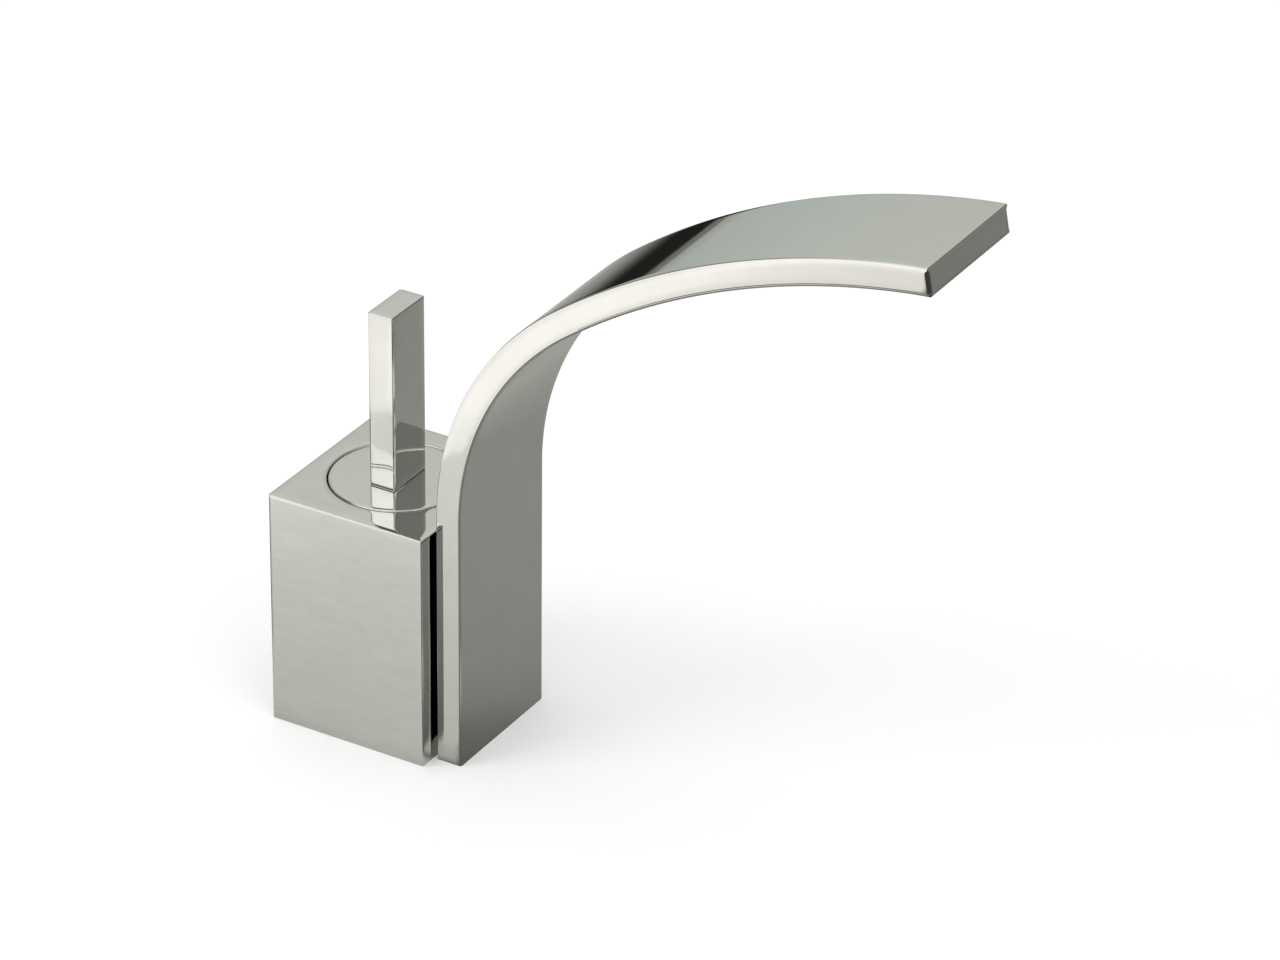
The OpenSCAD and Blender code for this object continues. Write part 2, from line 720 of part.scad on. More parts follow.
// Slot in which the stem swings, from the back of the square to the tail at full tilt
module stem_slot() {
    back = (stem_w / 2 + carrier_rise * sin(tilt_max)) / cos(tilt_max) + 2 * slide_gap;
    front = (pivot_z - flange_z) * tan(tilt_max) + tail_r / cos(tilt_max) + 2 * slide_gap;
    translate([-back, -stem_w / 2 - slide_gap, flange_z - over])
        cube([back + front, stem_w + 2 * slide_gap, pivot_z + carrier_rise - flange_z + 2 * over]);
    // Relief for the ball, which rises into the slot's mouth at full tilt
    ball_top = pivot_z - arm * cos(tilt_max) + ball_r + slide_gap;
    translate([0, -stem_w / 2 - slide_gap, flange_z - over])
        cube([arm * sin(tilt_max) + ball_r + slide_gap, stem_w + 2 * slide_gap, ball_top - flange_z + over]);
}

module carrier_ring() {
    section_r = (carrier_r + run_gap - carrier_groove_r) / 2 - film;
    color(rubber_color) translate([0, 0, carrier_ring_z]) o_ring(carrier_groove_r + section_r + film, section_r);
}

module pivot_pin() {
    color(steel_color) translate([0, 0, pivot_z]) rotate([90, 0, 0])
        cylinder(h = pivot_l, r = pivot_r, center = true);
}

// Two tenons that stand on the disc inside the lever's foot
module tenons(grow) {
    for (s = [-1, 1])
        translate([-tenon_x / 2 - grow, s * (tenon_gap + tenon_y) / 2 - tenon_y / 2 - grow, block_z])
            cube([tenon_x + 2 * grow, tenon_y + 2 * grow, tenon_h + grow]);
}

// Grub screw place in the back of the lever, aimed at one tenon
module at_grub() {
    translate([-lever_x / 2, (tenon_gap + tenon_y) / 2, block_z + grub_z]) rotate([0, 90, 0]) children();
}

module lever_bar() {
    color(chrome_color) difference() {
        translate([0, 0, block_z]) soft_bar([lever_x, lever_y, lever_h], lever_edge_r, lever_rim);
        translate([0, 0, -over]) linear_extrude(block_z + tenon_h + seat_gap + over)
            square([tenon_x + 2 * seat_gap, tenon_gap + 2 * (tenon_y + seat_gap)], center = true);
        translate([0, 0, block_z - over]) cylinder(h = screw_head_h + seat_gap + over, r = screw_head_r + seat_gap);
        at_grub() translate([0, 0, -over]) cylinder(h = lever_x / 2 + over, r = grub_r);
    }
}

module handle_disc() {
    color(chrome_color) difference() {
        union() {
            translate([0, 0, disc_z]) cylinder(h = disc_t - disc_rim, r = disc_r);
            translate([0, 0, block_z - disc_rim]) cylinder(h = disc_rim, r1 = disc_r, r2 = disc_r - disc_rim);
            translate([0, 0, hub_z]) cylinder(h = hub_h, r = hub_r);
            tenons(0);
        }
        translate([0, 0, hub_z - over]) linear_extrude(stem_seat + over)
            square(stem_w + 2 * film, center = true);
        translate([0, 0, hub_z]) cylinder(h = pivot_depth, r = screw_r + seat_gap);
        at_grub() cylinder(h = grub_l + film, r = grub_r);
    }
}

module lever_stem() {
    top = hub_z + stem_seat;
    color(steel_color) difference() {
        union() {
            translate([0, 0, pivot_z - square_drop]) linear_extrude(top - pivot_z + square_drop)
                square(stem_w, center = true);
            translate([0, 0, pivot_z - arm]) cylinder(h = arm - square_drop / 2, r = tail_r);
            translate([0, 0, pivot_z - arm]) sphere(ball_r);
        }
        translate([0, 0, pivot_z]) rotate([90, 0, 0])
            cylinder(h = stem_w + 2 * over, r = pivot_r + run_gap / 2, center = true);
        translate([0, 0, top - screw_in - seat_gap]) cylinder(h = screw_in + seat_gap + over, r = screw_r);
    }
}

module handle_screw() {
    top = hub_z + stem_seat;
    color(steel_color) difference() {
        union() {
            translate([0, 0, top - screw_in]) cylinder(h = block_z - top + screw_in, r = screw_r);
            translate([0, 0, block_z]) cylinder(h = screw_head_h, r = screw_head_r);
        }
        translate([0, 0, block_z + screw_head_h / 2]) cylinder(h = screw_head_h, r = screw_head_r / 2, $fn = 6);
    }
}

module lever_grub_screw() {
    color(steel_color) difference() {
        at_grub() cylinder(h = grub_l, r = grub_r);
        at_grub() translate([0, 0, -over]) cylinder(h = grub_l / 2 + over, r = grub_r / 2, $fn = 6);
    }
}

module disc_driver() {
    color(plastic_color) {
        difference() {
            intersection() {
                translate([moving_x, 0, driver_z]) cylinder(h = driver_h, r = driver_r);
                translate([0, 0, driver_z]) linear_extrude(driver_h)
                    square([2 * (driver_r + travel), driver_w], center = true);
            }
            translate([0, 0, driver_z + driver_floor]) linear_extrude(driver_h)
                square([2 * (ball_r + seat_gap), 2 * (ball_r + slide_gap)], center = true);
        }
        for (s = [-1, 1])
            translate([drive_x(s), 0, driver_z - mix_depth / 2]) cylinder(h = mix_depth / 2, r = seal_w);
    }
}

module moving_ceramic_disc() {
    color(ceramic_color) difference() {
        translate([moving_x, 0, moving_z]) cylinder(h = moving_t, r = moving_r);
        translate([0, 0, moving_z - over]) cylinder(h = mix_depth + over, r = mix_r);
        translate([-mix_l, 0, moving_z - over]) cylinder(h = mix_depth + over, r = mix_r);
        translate([-mix_l, -mix_r, moving_z - over]) cube([mix_l, 2 * mix_r, mix_depth + over]);
        for (s = [-1, 1])
            translate([drive_x(s), 0, driver_z - mix_depth / 2]) cylinder(h = moving_t, r = seal_w);
    }
}

valve_block();
base_seal();
spout_shell();
spout_underside();
spout_end_plate();
spout_foot();
outlet_straightener();
outlet_seal();
spout_spigot();
spigot_rings();
spigot_lock_screw();
spout_pins();
cartridge_housing();
cartridge_base();
port_seals();
disc_seals();
fixed_ceramic_disc();
cartridge_nut();
stop_ring();
stem_carrier();
carrier_ring();
pivot_pin();
lever_bar();
handle_disc();
lever_stem();
handle_screw();
lever_grub_screw();
disc_driver();
moving_ceramic_disc();
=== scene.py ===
# Looks of the waterfall basin faucet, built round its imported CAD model.
# Shapes are drawn in millimetres in the frame of the model and turned to metres when a mesh is made.
import json
import math

import bpy
from mathutils import Matrix, Vector
from mathutils.geometry import delaunay_2d_cdt

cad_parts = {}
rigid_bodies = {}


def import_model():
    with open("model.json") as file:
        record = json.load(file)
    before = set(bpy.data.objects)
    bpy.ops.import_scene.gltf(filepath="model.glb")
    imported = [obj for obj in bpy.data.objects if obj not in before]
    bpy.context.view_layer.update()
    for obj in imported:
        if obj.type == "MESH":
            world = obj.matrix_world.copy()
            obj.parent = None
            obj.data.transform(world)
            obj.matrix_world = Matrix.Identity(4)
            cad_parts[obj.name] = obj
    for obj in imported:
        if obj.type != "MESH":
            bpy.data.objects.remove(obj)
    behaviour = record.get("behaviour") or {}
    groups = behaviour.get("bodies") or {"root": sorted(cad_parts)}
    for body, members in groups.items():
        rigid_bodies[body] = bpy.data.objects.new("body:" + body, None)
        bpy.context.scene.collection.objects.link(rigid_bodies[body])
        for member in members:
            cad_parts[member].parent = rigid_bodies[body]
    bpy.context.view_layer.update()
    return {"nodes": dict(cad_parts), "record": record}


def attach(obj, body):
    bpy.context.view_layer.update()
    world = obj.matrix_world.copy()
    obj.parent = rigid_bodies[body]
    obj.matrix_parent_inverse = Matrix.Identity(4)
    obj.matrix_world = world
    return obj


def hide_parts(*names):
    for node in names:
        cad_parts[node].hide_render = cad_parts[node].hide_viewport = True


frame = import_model()
nodes = frame["nodes"]

MM = 0.001

# Sizes of the CAD model, in millimetres
BLOCK = (50.0, 54.0, 72.0)
BLOCK_EDGE = 0.5
MOUTH_R = 19.7
HOLLOW_R = 22.354
PIVOT_Z = 61.0
SHELF_DROP = 0.5
NUT_BORE_R = 19.0
CHAMBER_R = 17.6
SHOULDER_Z = 54.5
FLOOR_Z = 34.0
DISC_T = 3.0
HUB_R = 5.5
HUB_H = 2.5
LEVER = (8.0, 16.4, 54.0)
LEVER_EDGE = 0.6
SEAL_OUTER = (46.0, 50.0, 4.0)
SEAL_INNER = (41.4, 45.4, 2.85)
SEAL_T = 1.5
SPOUT_W = 43.0
CHANNEL_W = 39.8
LEG_FACE_X = 26.1
LEG_T = 7.8
BLADE_T = 8.3
LEG_H = 77.0
BEND_R = 92.0
BEND_ANGLE = 53.2
CROWN_R = 223.0
CROWN_ANGLE = 30.7
SKIN_T = 1.5
PLATE_T = 1.0
END_T = 2.0
SLOT_L = 37.0
SLOT_W = 7.0
SLOT_BACK = 9.0

# The grub screw's hole in the lever: y, z, radius, countersink
GRUB = (5.0, 77.0, 1.5, 0.25)

# Holes in the base: place, radius, depth, countersink, cone at the end, pitch and height of the thread
BASE_HOLES = (
    ((4.0, -10.5), 4.5, 12.0, 0.5, 2.25, 1.0, 0.45),
    ((4.0, 10.5), 4.5, 12.0, 0.5, 2.25, 1.0, 0.45),
    ((-12.0, 0.0), 3.4, 15.0, 0.4, 0.0, 1.25, 0.5),
    ((18.2, 0.0), 2.0, 16.0, 0.3, 0.0, 0.0, 0.0),
)

# Sizes of the visible model alone, in millimetres and degrees: the edges as polished, a disc a little wider than its
# solid, and a tip that leans less than its solid, to follow the photograph
BLOCK_RIM = 0.3
LIP = 0.42
LIP_W = 0.85
# Depth below the block's top from which the hollow's wall is painted dark as painted shade
SHADE_FROM_DEPTH = 0.5
DISC_R = 19.3
DISC_RIM = 0.45
LEVER_BACK_EDGE = 1.2
LEVER_NEAR_EDGE = 0.35
LEVER_TOP_RIM = 0.45
LEVER_FOOT_RIM = 0.45
TIP_RAKE = 10.5
TIP_AHEAD = 0.3
TIP_SAG = 0.07
SAG_TURN = 1.5
TOP_EDGE = 0.4
LOW_EDGE = 0.87
SEAM_EDGE = 0.13
BRAZED_EDGE = 0.02
FOOT_EDGE = 0.25
TIP_SIDE_EDGE = 1.15
TIP_TOP_EDGE = 0.2
TIP_LOW_EDGE = 0.87

# Steps of the roundings, and of the rows along the spout
ARC_STEPS = 8
ROUND_STEPS = 128
BOWL_STEPS = 16
HOLE_STEPS = 64
GRUB_STEPS = 48
SEAM_STEPS = 4
LOW_EDGE_STEPS = 12
FOOT_STEPS = 4
LEG_STEPS = 4
BEND_STEPS = 72
CROWN_STEPS = 72
TO_SLOT_STEPS = 64
SLOT_STEPS = 6
TO_TIP_STEPS = 4
END_STEPS = 6

# Tolerances: corners of a mesh to the millimetre, least length and area of a side and a face, equal numbers
CORNER_GRAIN = 10000
NO_LENGTH = 1e-4
NO_AREA = 1e-9
CLOSE = 1e-6

# Polishing rolls the flat faces off towards their edges: lean at the edge in radians, and how far in it reaches
ROLL = 0.075
CAP_ROLL = 0.12
REACH = 2.6
NARROW_REACH = 1.5
LOW_REACH = 2.0
ROLL_STEPS = 6
# Coats of a face: the chrome plating, or dark metal as painted shade
PLATED, PAINTED_SHADE = 0, 1


def lean(share, most=ROLL):
    """Lean of a face at a share of the roll-off's reach from the edge."""
    return most * (1 - share) ** 2


class Skin:
    """Faces with a normal of their own at each corner, gathered into one mesh."""

    def __init__(self):
        self.ids = {}
        self.points = []
        self.faces = []
        self.normals = []
        self.coats = []
        self.coat = PLATED

    def corner(self, p):
        key = tuple(round(v * CORNER_GRAIN) for v in p)
        if key not in self.ids:
            self.ids[key] = len(self.points)
            self.points.append(tuple(v * MM for v in p))
        return self.ids[key]

    def face(self, corners):
        ids = [self.corner(p) for p, n in corners]
        kept = [k for k in range(len(ids)) if ids[k] != ids[k - 1]]
        if len({ids[k] for k in kept}) < 3:
            return
        points = [Vector(corners[k][0]) for k in kept]
        normals = [Vector(corners[k][1]) for k in kept]
        turn = Vector((0, 0, 0))
        for k in range(len(points)):
            turn += points[k - 1].cross(points[k])
        if turn.length < NO_AREA:
            return
        mean = sum(normals, Vector((0, 0, 0)))
        order = kept if turn.dot(mean) >= 0 else kept[::-1]
        self.faces.append([ids[k] for k in order])
        self.coats.append(self.coat)
        self.normals.extend(Vector(corners[k][1]).normalized() for k in order)

    def grid(self, rows, wrap=False, skip=None, shade_mask=None):
        coat = self.coat
        for i in range(len(rows) - 1):
            count = len(rows[i])
            for j in range(count if wrap else count - 1):
                if skip and skip(i, j):
                    continue
                k = (j + 1) % count
                # Faces picked by the mask take the painted shade coat
                self.coat = PAINTED_SHADE if shade_mask and shade_mask(i, j) else coat
                self.face([rows[i][j], rows[i][k], rows[i + 1][k], rows[i + 1][j]])
        self.coat = coat

    def flat(self, loops, place, normal):
        """Fills the first loop, less the others, with flat triangles."""
        verts, edges, clean = [], [], []
        for loop in loops:
            kept = [p for k, p in enumerate(loop) if math.dist(p, loop[k - 1]) > NO_LENGTH]
            clean.append(kept)
            base = len(verts)
            verts += [Vector(p) for p in kept]
            edges += [(base + k, base + (k + 1) % len(kept)) for k in range(len(kept))]
        points, _, faces = delaunay_2d_cdt(verts, edges, [], 0, CLOSE)[:3]
        for f in faces:
            middle = sum((points[k] for k in f), Vector((0, 0))) / len(f)
            if inside(middle, clean[0]) and not any(inside(middle, h) for h in clean[1:]):
                self.face([(place(points[k]), normal) for k in f])

    def lathe(self, strips, at=Matrix.Identity(4), steps=ROUND_STEPS):
        """Turns strips of (radius, height, normal outwards, normal upwards) round the Z axis of a frame."""
        turn = at.to_3x3()
        for strip in strips:
            rows = []
            for r, z, nr, nz in strip:
                row = []
                for k in range(steps):
                    a = 2 * math.pi * k / steps
                    c, s = math.cos(a), math.sin(a)
                    row.append((at @ Vector((r * c, r * s, z)), turn @ Vector((nr * c, nr * s, nz))))
                rows.append(row)
            self.grid(rows, wrap=True)

    def build(self, name, material, body, slot, *replaced):
        """Makes the mesh with its material, ties it to its body, and hides the solids it stands for. The slot is not
        used.
        """
        mesh = bpy.data.meshes.new(name)
        mesh.from_pydata(self.points, [], self.faces)
        mesh.materials.append(material)
        # Faces coated with painted shade take the dark metal as a second material
        if PAINTED_SHADE in self.coats:
            mesh.materials.append(painted_shade_metal)
        mesh.polygons.foreach_set("material_index", self.coats)
        mesh.polygons.foreach_set("use_smooth", [True] * len(mesh.polygons))
        mesh.normals_split_custom_set([tuple(n) for n in self.normals])
        obj = bpy.data.objects.new(name, mesh)
        bpy.context.scene.collection.objects.link(obj)
        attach(obj, body)
        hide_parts(*replaced)


def between(x, stops):
    """Value read off a line through stops of (x, value)."""
    if x <= stops[0][0]:
        return stops[0][1]
    for (a, u), (b, v) in zip(stops, stops[1:]):
        if x <= b:
            return u + (v - u) * (x - a) / (b - a)
    return stops[-1][1]


def eased(t):
    return t * t * (3 - 2 * t)


def soft_step(x, low, high):
    return eased(max(0.0, min(1.0, (x - low) / (high - low))))


def mixed(a, b, share):
    return a + (b - a) * share


def quarter(k, steps=ARC_STEPS):
    """Angle after k of the steps of a quarter turn."""
    return math.pi / 2 * k / steps


def upright(p, z):
    return (p[0], p[1], z)


def inside(p, loop):
    """True where a point lies in a loop, told by the sides that a level line from it crosses."""
    hit = False
    for k in range(len(loop)):
        a, b = loop[k - 1], loop[k]
        if (a[1] > p[1]) != (b[1] > p[1]) and p[0] < (b[0] - a[0]) * (p[1] - a[1]) / (b[1] - a[1]) + a[0]:
            hit = not hit
    return hit


def arc(x, y, r, start, end, steps):
    """Points of an arc with the normal of each, (x, y, normal x, normal y)."""
    found = []
    for k in range(steps + 1):
        a = math.radians(start + (end - start) * k / steps)
        found.append((x + r * math.cos(a), y + r * math.sin(a), math.cos(a), math.sin(a)))
    return found


def beside(x, y, r, a, t):
    """Point a length along the tangent that touches a circle at an angle."""
    return x + r * math.cos(a) - t * math.sin(a), y + r * math.sin(a) + t * math.cos(a)


def round_rect(w, h, radii):
    """Outline of a rounded rectangle, (x, y, angle of the normal, angle of the rolled-off normal)."""
    found = []
    for q, (across, along) in enumerate(((1, 1), (-1, 1), (-1, -1), (1, -1))):
        r = radii[q] if isinstance(radii, tuple) else radii
        x, y = w / 2 - r, h / 2 - r
        cx, cy = across * x, along * y
        start, end = math.pi / 2 * q, math.pi / 2 * (q + 1)
        before, after = (y, x) if q % 2 == 0 else (x, y)
        for k in range(ROLL_STEPS, 0, -1):
            at = beside(cx, cy, r, start, -min(REACH, before) * k / ROLL_STEPS)
            found.append((*at, start, start + lean(k / ROLL_STEPS)))
        for k in range(ARC_STEPS + 1):
            a = start + (end - start) * k / ARC_STEPS
            found.append((cx + r * math.cos(a), cy + r * math.sin(a), a, a + ROLL * (1 - 2 * k / ARC_STEPS)))
        for k in range(1, ROLL_STEPS + 1):
            at = beside(cx, cy, r, end, min(REACH, after) * k / ROLL_STEPS)
            found.append((*at, end, end - lean(k / ROLL_STEPS)))
    return found


def pulled(outline, inset=0.0):
    """Points of an outline, pulled inwards."""
    return [(x - inset * math.cos(a), y - inset * math.sin(a)) for x, y, a, s in outline]


def circle(x, y, r, steps=ROUND_STEPS):
    return [(x + r * math.cos(2 * math.pi * k / steps), y + r * math.sin(2 * math.pi * k / steps))
            for k in range(steps)]


def prism(skin, outline, low, high, low_rim, high_rim, skip=None, shade_mask=None):
    """Upright sides of an outline with both ends rounded over."""
    rows = []
    for k in range(ARC_STEPS, -1, -1):
        a = quarter(k)
        rows.append(rim_row(outline, low + low_rim * (1 - math.sin(a)), low_rim, a, -1))
    for k in range(1, ROLL_STEPS + 1):
        rows.append(side_row(outline, low + low_rim + REACH * k / ROLL_STEPS, -lean(k / ROLL_STEPS)))
    for k in range(ROLL_STEPS, 0, -1):
        rows.append(side_row(outline, high - high_rim - REACH * k / ROLL_STEPS, lean(k / ROLL_STEPS)))
    for k in range(ARC_STEPS + 1):
        a = quarter(k)
        rows.append(rim_row(outline, high - high_rim * (1 - math.sin(a)), high_rim, a, 1))
    skin.grid(rows, wrap=True, skip=skip, shade_mask=shade_mask)
    return rows


def side_row(outline, z, tilt):
    """Row of a prism's side, leaning by an angle."""
    c, n = math.cos(tilt), math.sin(tilt)
    return [((x, y, z), (math.cos(s) * c, math.sin(s) * c, n)) for x, y, a, s in outline]


def rim_row(outline, z, r, a, way):
    """Row of the rounding at a prism's end, at an angle from its side."""
    inset, b = r * (1 - math.cos(a)), a + ROLL * (1 - 4 * a / math.pi)
    c, n = math.cos(b), way * math.sin(b)
    return [((x, y, z), (math.cos(s) * c, math.sin(s) * c, n))
            for (x, y), (_, _, _, s) in zip(pulled(outline, inset), outline)]


def cap(skin, size, radii, rim, z, way, *holes):
    """Level end of a prism, rolled off towards its rim."""
    rows = []
    for k in range(ROLL_STEPS + 1):
        inset, tilt = rim + REACH * k / ROLL_STEPS, lean(k / ROLL_STEPS, CAP_ROLL)
        loop = round_rect(size[0] - 2 * inset, size[1] - 2 * inset, tuple(max(r - inset, 0.0) for r in radii))
        c, n = way * math.cos(tilt), math.sin(tilt)
        rows.append([((x, y, z), (math.cos(a) * n, math.sin(a) * n, c)) for x, y, a, s in loop])
    skin.grid(rows, wrap=True)
    skin.flat([[(p[0], p[1]) for p, n in rows[-1]], *holes], lambda p: upright(p, z), (0, 0, way))


def rolled_strip(brink, reach, z, way):
    """Points of a level ring that rolls off towards its brink, from the flat on; way is 1 for an outer brink."""
    strip = []
    for k in range(ROLL_STEPS, 0, -1):
        tilt = lean(k / ROLL_STEPS, CAP_ROLL)
        strip.append((brink - way * reach * k / ROLL_STEPS, z, way * math.sin(tilt), math.cos(tilt)))
    return strip


# Slant of the normals at a countersink, a thread's flanks and a drilled end
SINK = (-0.7, -0.7)
FLANK = (-0.7, 0.5)
DRILLED = (-0.4, -0.9)


def hole_strips(r, depth, rim, cone=0.0, pitch=0.0, thread=0.0):
    """Wall of a blind hole that opens downwards at height zero, with a turned thread where a pitch is given."""
    strips = [[(r + rim, 0, *SINK), (r, rim, *SINK)]]
    z = rim
    while pitch and z + pitch < depth - pitch:
        crest = z + pitch / 2
        strips.append([(r, z, *FLANK), (r + thread, crest, *FLANK)])
        strips.append([(r + thread, crest, FLANK[0], -FLANK[1]), (r, z + pitch, FLANK[0], -FLANK[1])])
        z += pitch
    strips.append([(r, z, -1, 0), (r, depth, -1, 0)])
    strips.append([(r, depth, *DRILLED), (0, depth + cone, *DRILLED)])
    return strips


# Materials
IOR = 1.5
GLOSS_DETAIL = 3.0
GLOSS_RANGE = (0.3, 0.7)
RELIEF_DETAIL = 2.0
FILM_DETAIL = 4.0
FILM_WARP = 1.0
FILM_GRAIN = 110.0
FILM_STROKES = (0.8, 0.8, 3.2)


def solid_node_color(socket, rgb):
    socket.default_value = (rgb[0], rgb[1], rgb[2], 1.0)


def noise_node(tree, vector, scale, detail):
    noise = tree.nodes.new("ShaderNodeTexNoise")
    noise.inputs["Scale"].default_value = scale
    noise.inputs["Detail"].default_value = detail
    tree.links.new(vector, noise.inputs["Vector"])
    return noise


def surface(name, rgb, metallic, rough, grain, relief=None, film=0.0, strokes=(1.0, 1.0, 1.0)):
    """Principled material whose roughness varies between two values.

    A fine relief is given by its height and grain, a faint uneven film by its strength and the stretch of its noise.
    """
    mat = bpy.data.materials.new(name)
    mat.use_nodes = True
    tree = mat.node_tree
    tree.nodes.clear()
    out = tree.nodes.new("ShaderNodeOutputMaterial")
    shader = tree.nodes.new("ShaderNodeBsdfPrincipled")
    tree.links.new(shader.outputs["BSDF"], out.inputs["Surface"])
    solid_node_color(shader.inputs["Base Color"], rgb)
    shader.inputs["Metallic"].default_value = metallic
    shader.inputs["IOR"].default_value = IOR
    place = tree.nodes.new("ShaderNodeTexCoord").outputs["Object"]
    gloss = noise_node(tree, place, grain, GLOSS_DETAIL)
    levels = tree.nodes.new("ShaderNodeMapRange")
    levels.inputs["From Min"].default_value, levels.inputs["From Max"].default_value = GLOSS_RANGE
    levels.inputs["To Min"].default_value, levels.inputs["To Max"].default_value = rough
    tree.links.new(gloss.outputs["Fac"], levels.inputs["Value"])
    tree.links.new(levels.outputs["Result"], shader.inputs["Roughness"])
    if relief:
        height, relief_grain = relief
        waves = noise_node(tree, place, relief_grain, RELIEF_DETAIL)
        bump = tree.nodes.new("ShaderNodeBump")
        bump.inputs["Strength"].default_value = 1.0
        bump.inputs["Distance"].default_value = height
        tree.links.new(waves.outputs["Fac"], bump.inputs["Height"])
        tree.links.new(bump.outputs["Normal"], shader.inputs["Normal"])
    if film:
        stretch = tree.nodes.new("ShaderNodeMapping")
        stretch.inputs["Scale"].default_value = strokes
        tree.links.new(place, stretch.inputs["Vector"])
        patches = noise_node(tree, stretch.outputs["Vector"], FILM_GRAIN, FILM_DETAIL)
        patches.inputs["Distortion"].default_value = FILM_WARP
        tint = tree.nodes.new("ShaderNodeMix")
        tint.data_type = "RGBA"
        solid_node_color(tint.inputs["A"], [v * (1 - film) for v in rgb])
        solid_node_color(tint.inputs["B"], [min(1.0, v * (1 + film)) for v in rgb])
        tree.links.new(patches.outputs["Fac"], tint.inputs["Factor"])
        tree.links.new(tint.outputs["Result"], shader.inputs["Base Color"])
    return mat


PLATING = ((0.93, 0.935, 0.915), 1.0, (0.03, 0.05), 60.0, (0.000006, 70.0))
chrome = surface("chrome_polished", *PLATING, film=0.05)
chrome_block = surface("chrome_block", *PLATING, film=0.09, strokes=FILM_STROKES)
# Dark metal that stands in for shade: painted shade in the hollow and groove, along the seams and in the lever's joint
painted_shade_metal = surface("painted_shade_dark_metal", (0.24, 0.22, 0.18), 0.3, (0.5, 0.6), 300.0)
FINISHES = {
    "chrome_plate": chrome,
    "brass": surface("brass_turned", (0.78, 0.6, 0.3), 1.0, (0.22, 0.34), 400.0, (0.00001, 900.0)),
    "stainless": surface("steel_turned", (0.6, 0.6, 0.6), 1.0, (0.2, 0.32), 500.0, (0.00001, 900.0)),
    "rubber": surface("rubber_black", (0.03, 0.03, 0.033), 0.0, (0.55, 0.7), 300.0, (0.00002, 1500.0)),
    "ceramic": surface("ceramic_white", (0.86, 0.85, 0.81), 0.0, (0.18, 0.26), 200.0, (0.000005, 1500.0)),
    "plastic_white": surface("plastic_white", (0.72, 0.73, 0.74), 0.0, (0.35, 0.45), 200.0, (0.00001, 1200.0)),
    "plastic_grey": surface("plastic_grey", (0.19, 0.2, 0.22), 0.0, (0.4, 0.5), 200.0, (0.00001, 1200.0)),
}
for part in frame["record"]["subparts"]:
    mesh = nodes[part["node"]].data
    mesh.materials.clear()
    mesh.materials.append(FINISHES[part["material_slot"]])


def block_piece():
    skin = Skin()
    outline = round_rect(BLOCK[0], BLOCK[1], BLOCK_EDGE)
    rim = pulled(outline, BLOCK_RIM)
    top = BLOCK[2]
    prism(skin, outline, 0.0, top, BLOCK_RIM, BLOCK_RIM)
    brink = MOUTH_R + LIP_W
    cap(skin, BLOCK, (BLOCK_EDGE,) * 4, BLOCK_RIM, top, 1, circle(0, 0, brink + NARROW_REACH))
    lip = rolled_strip(brink, NARROW_REACH, top, -1)
    for k in range(ARC_STEPS + 1):
        a = quarter(k)
        b = math.atan2(LIP * math.sin(a), LIP_W * math.cos(a)) + CAP_ROLL * (1 - k / ARC_STEPS)
        lip.append((brink - LIP_W * math.sin(a), top - LIP + LIP * math.cos(a), -math.sin(b), math.cos(b)))
    # The hollow in which the disc swings, cut off above by the mouth and below by the shelf
    mouth_z = PIVOT_Z + math.sqrt(HOLLOW_R ** 2 - MOUTH_R ** 2)
    shelf_z = PIVOT_Z - SHELF_DROP
    first, last = (math.asin((z - PIVOT_Z) / HOLLOW_R) for z in (mouth_z, shelf_z))
    bowl = []
    for k in range(BOWL_STEPS + 1):
        a = first + (last - first) * k / BOWL_STEPS
        bowl.append((HOLLOW_R * math.cos(a), PIVOT_Z + HOLLOW_R * math.sin(a), -math.cos(a), -math.sin(a)))
    shelf_r = bowl[-1][0]
    skin.lathe([lip, [(MOUTH_R, top - LIP, -1, 0), (MOUTH_R, top - SHADE_FROM_DEPTH, -1, 0)]])
    # Deeper down, the hollow's wall, bowl, shelf and chamber are painted dark as painted shade
    skin.coat = PAINTED_SHADE
    skin.lathe([
        [(MOUTH_R, top - SHADE_FROM_DEPTH, -1, 0), (MOUTH_R, mouth_z, -1, 0)],
        bowl,
        [(shelf_r, shelf_z, 0, 1), (NUT_BORE_R, shelf_z, 0, 1)],
        [(NUT_BORE_R, shelf_z, -1, 0), (NUT_BORE_R, SHOULDER_Z, -1, 0)],
        [(NUT_BORE_R, SHOULDER_Z, 0, 1), (CHAMBER_R, SHOULDER_Z, 0, 1)],
        [(CHAMBER_R, SHOULDER_Z, -1, 0), (CHAMBER_R, FLOOR_Z, -1, 0)],
        [(CHAMBER_R, FLOOR_Z, 0, 1), (0, FLOOR_Z, 0, 1)],
    ])
    skin.coat = PLATED
    # Underside: land round the seal, the seal's groove, and the holes inside it
    seal_out, seal_in = round_rect(*SEAL_OUTER), round_rect(*SEAL_INNER)
    skin.flat([rim, pulled(seal_out)], lambda p: upright(p, 0), (0, 0, -1))
    for loop, way in ((seal_out, -1), (seal_in, 1)):
        rows = [[((x, y, z), (way * math.cos(a), way * math.sin(a), 0)) for x, y, a, s in loop] for z in (0, SEAL_T)]
        skin.grid(rows, wrap=True)
    skin.flat([pulled(seal_out), pulled(seal_in)], lambda p: upright(p, SEAL_T), (0, 0, -1))
    mouths = [circle(x, y, r + sink, HOLE_STEPS) for (x, y), r, depth, sink, *end in BASE_HOLES]
    skin.flat([pulled(seal_in), *mouths], lambda p: upright(p, 0), (0, 0, -1))
    for (x, y), r, depth, sink, *end in BASE_HOLES:
        skin.lathe(hole_strips(r, depth, sink, *end), Matrix.Translation((x, y, 0)), HOLE_STEPS)
    skin.build("valve_block_body", chrome_block, "faucet_body", "chrome_plate", "valve_block")


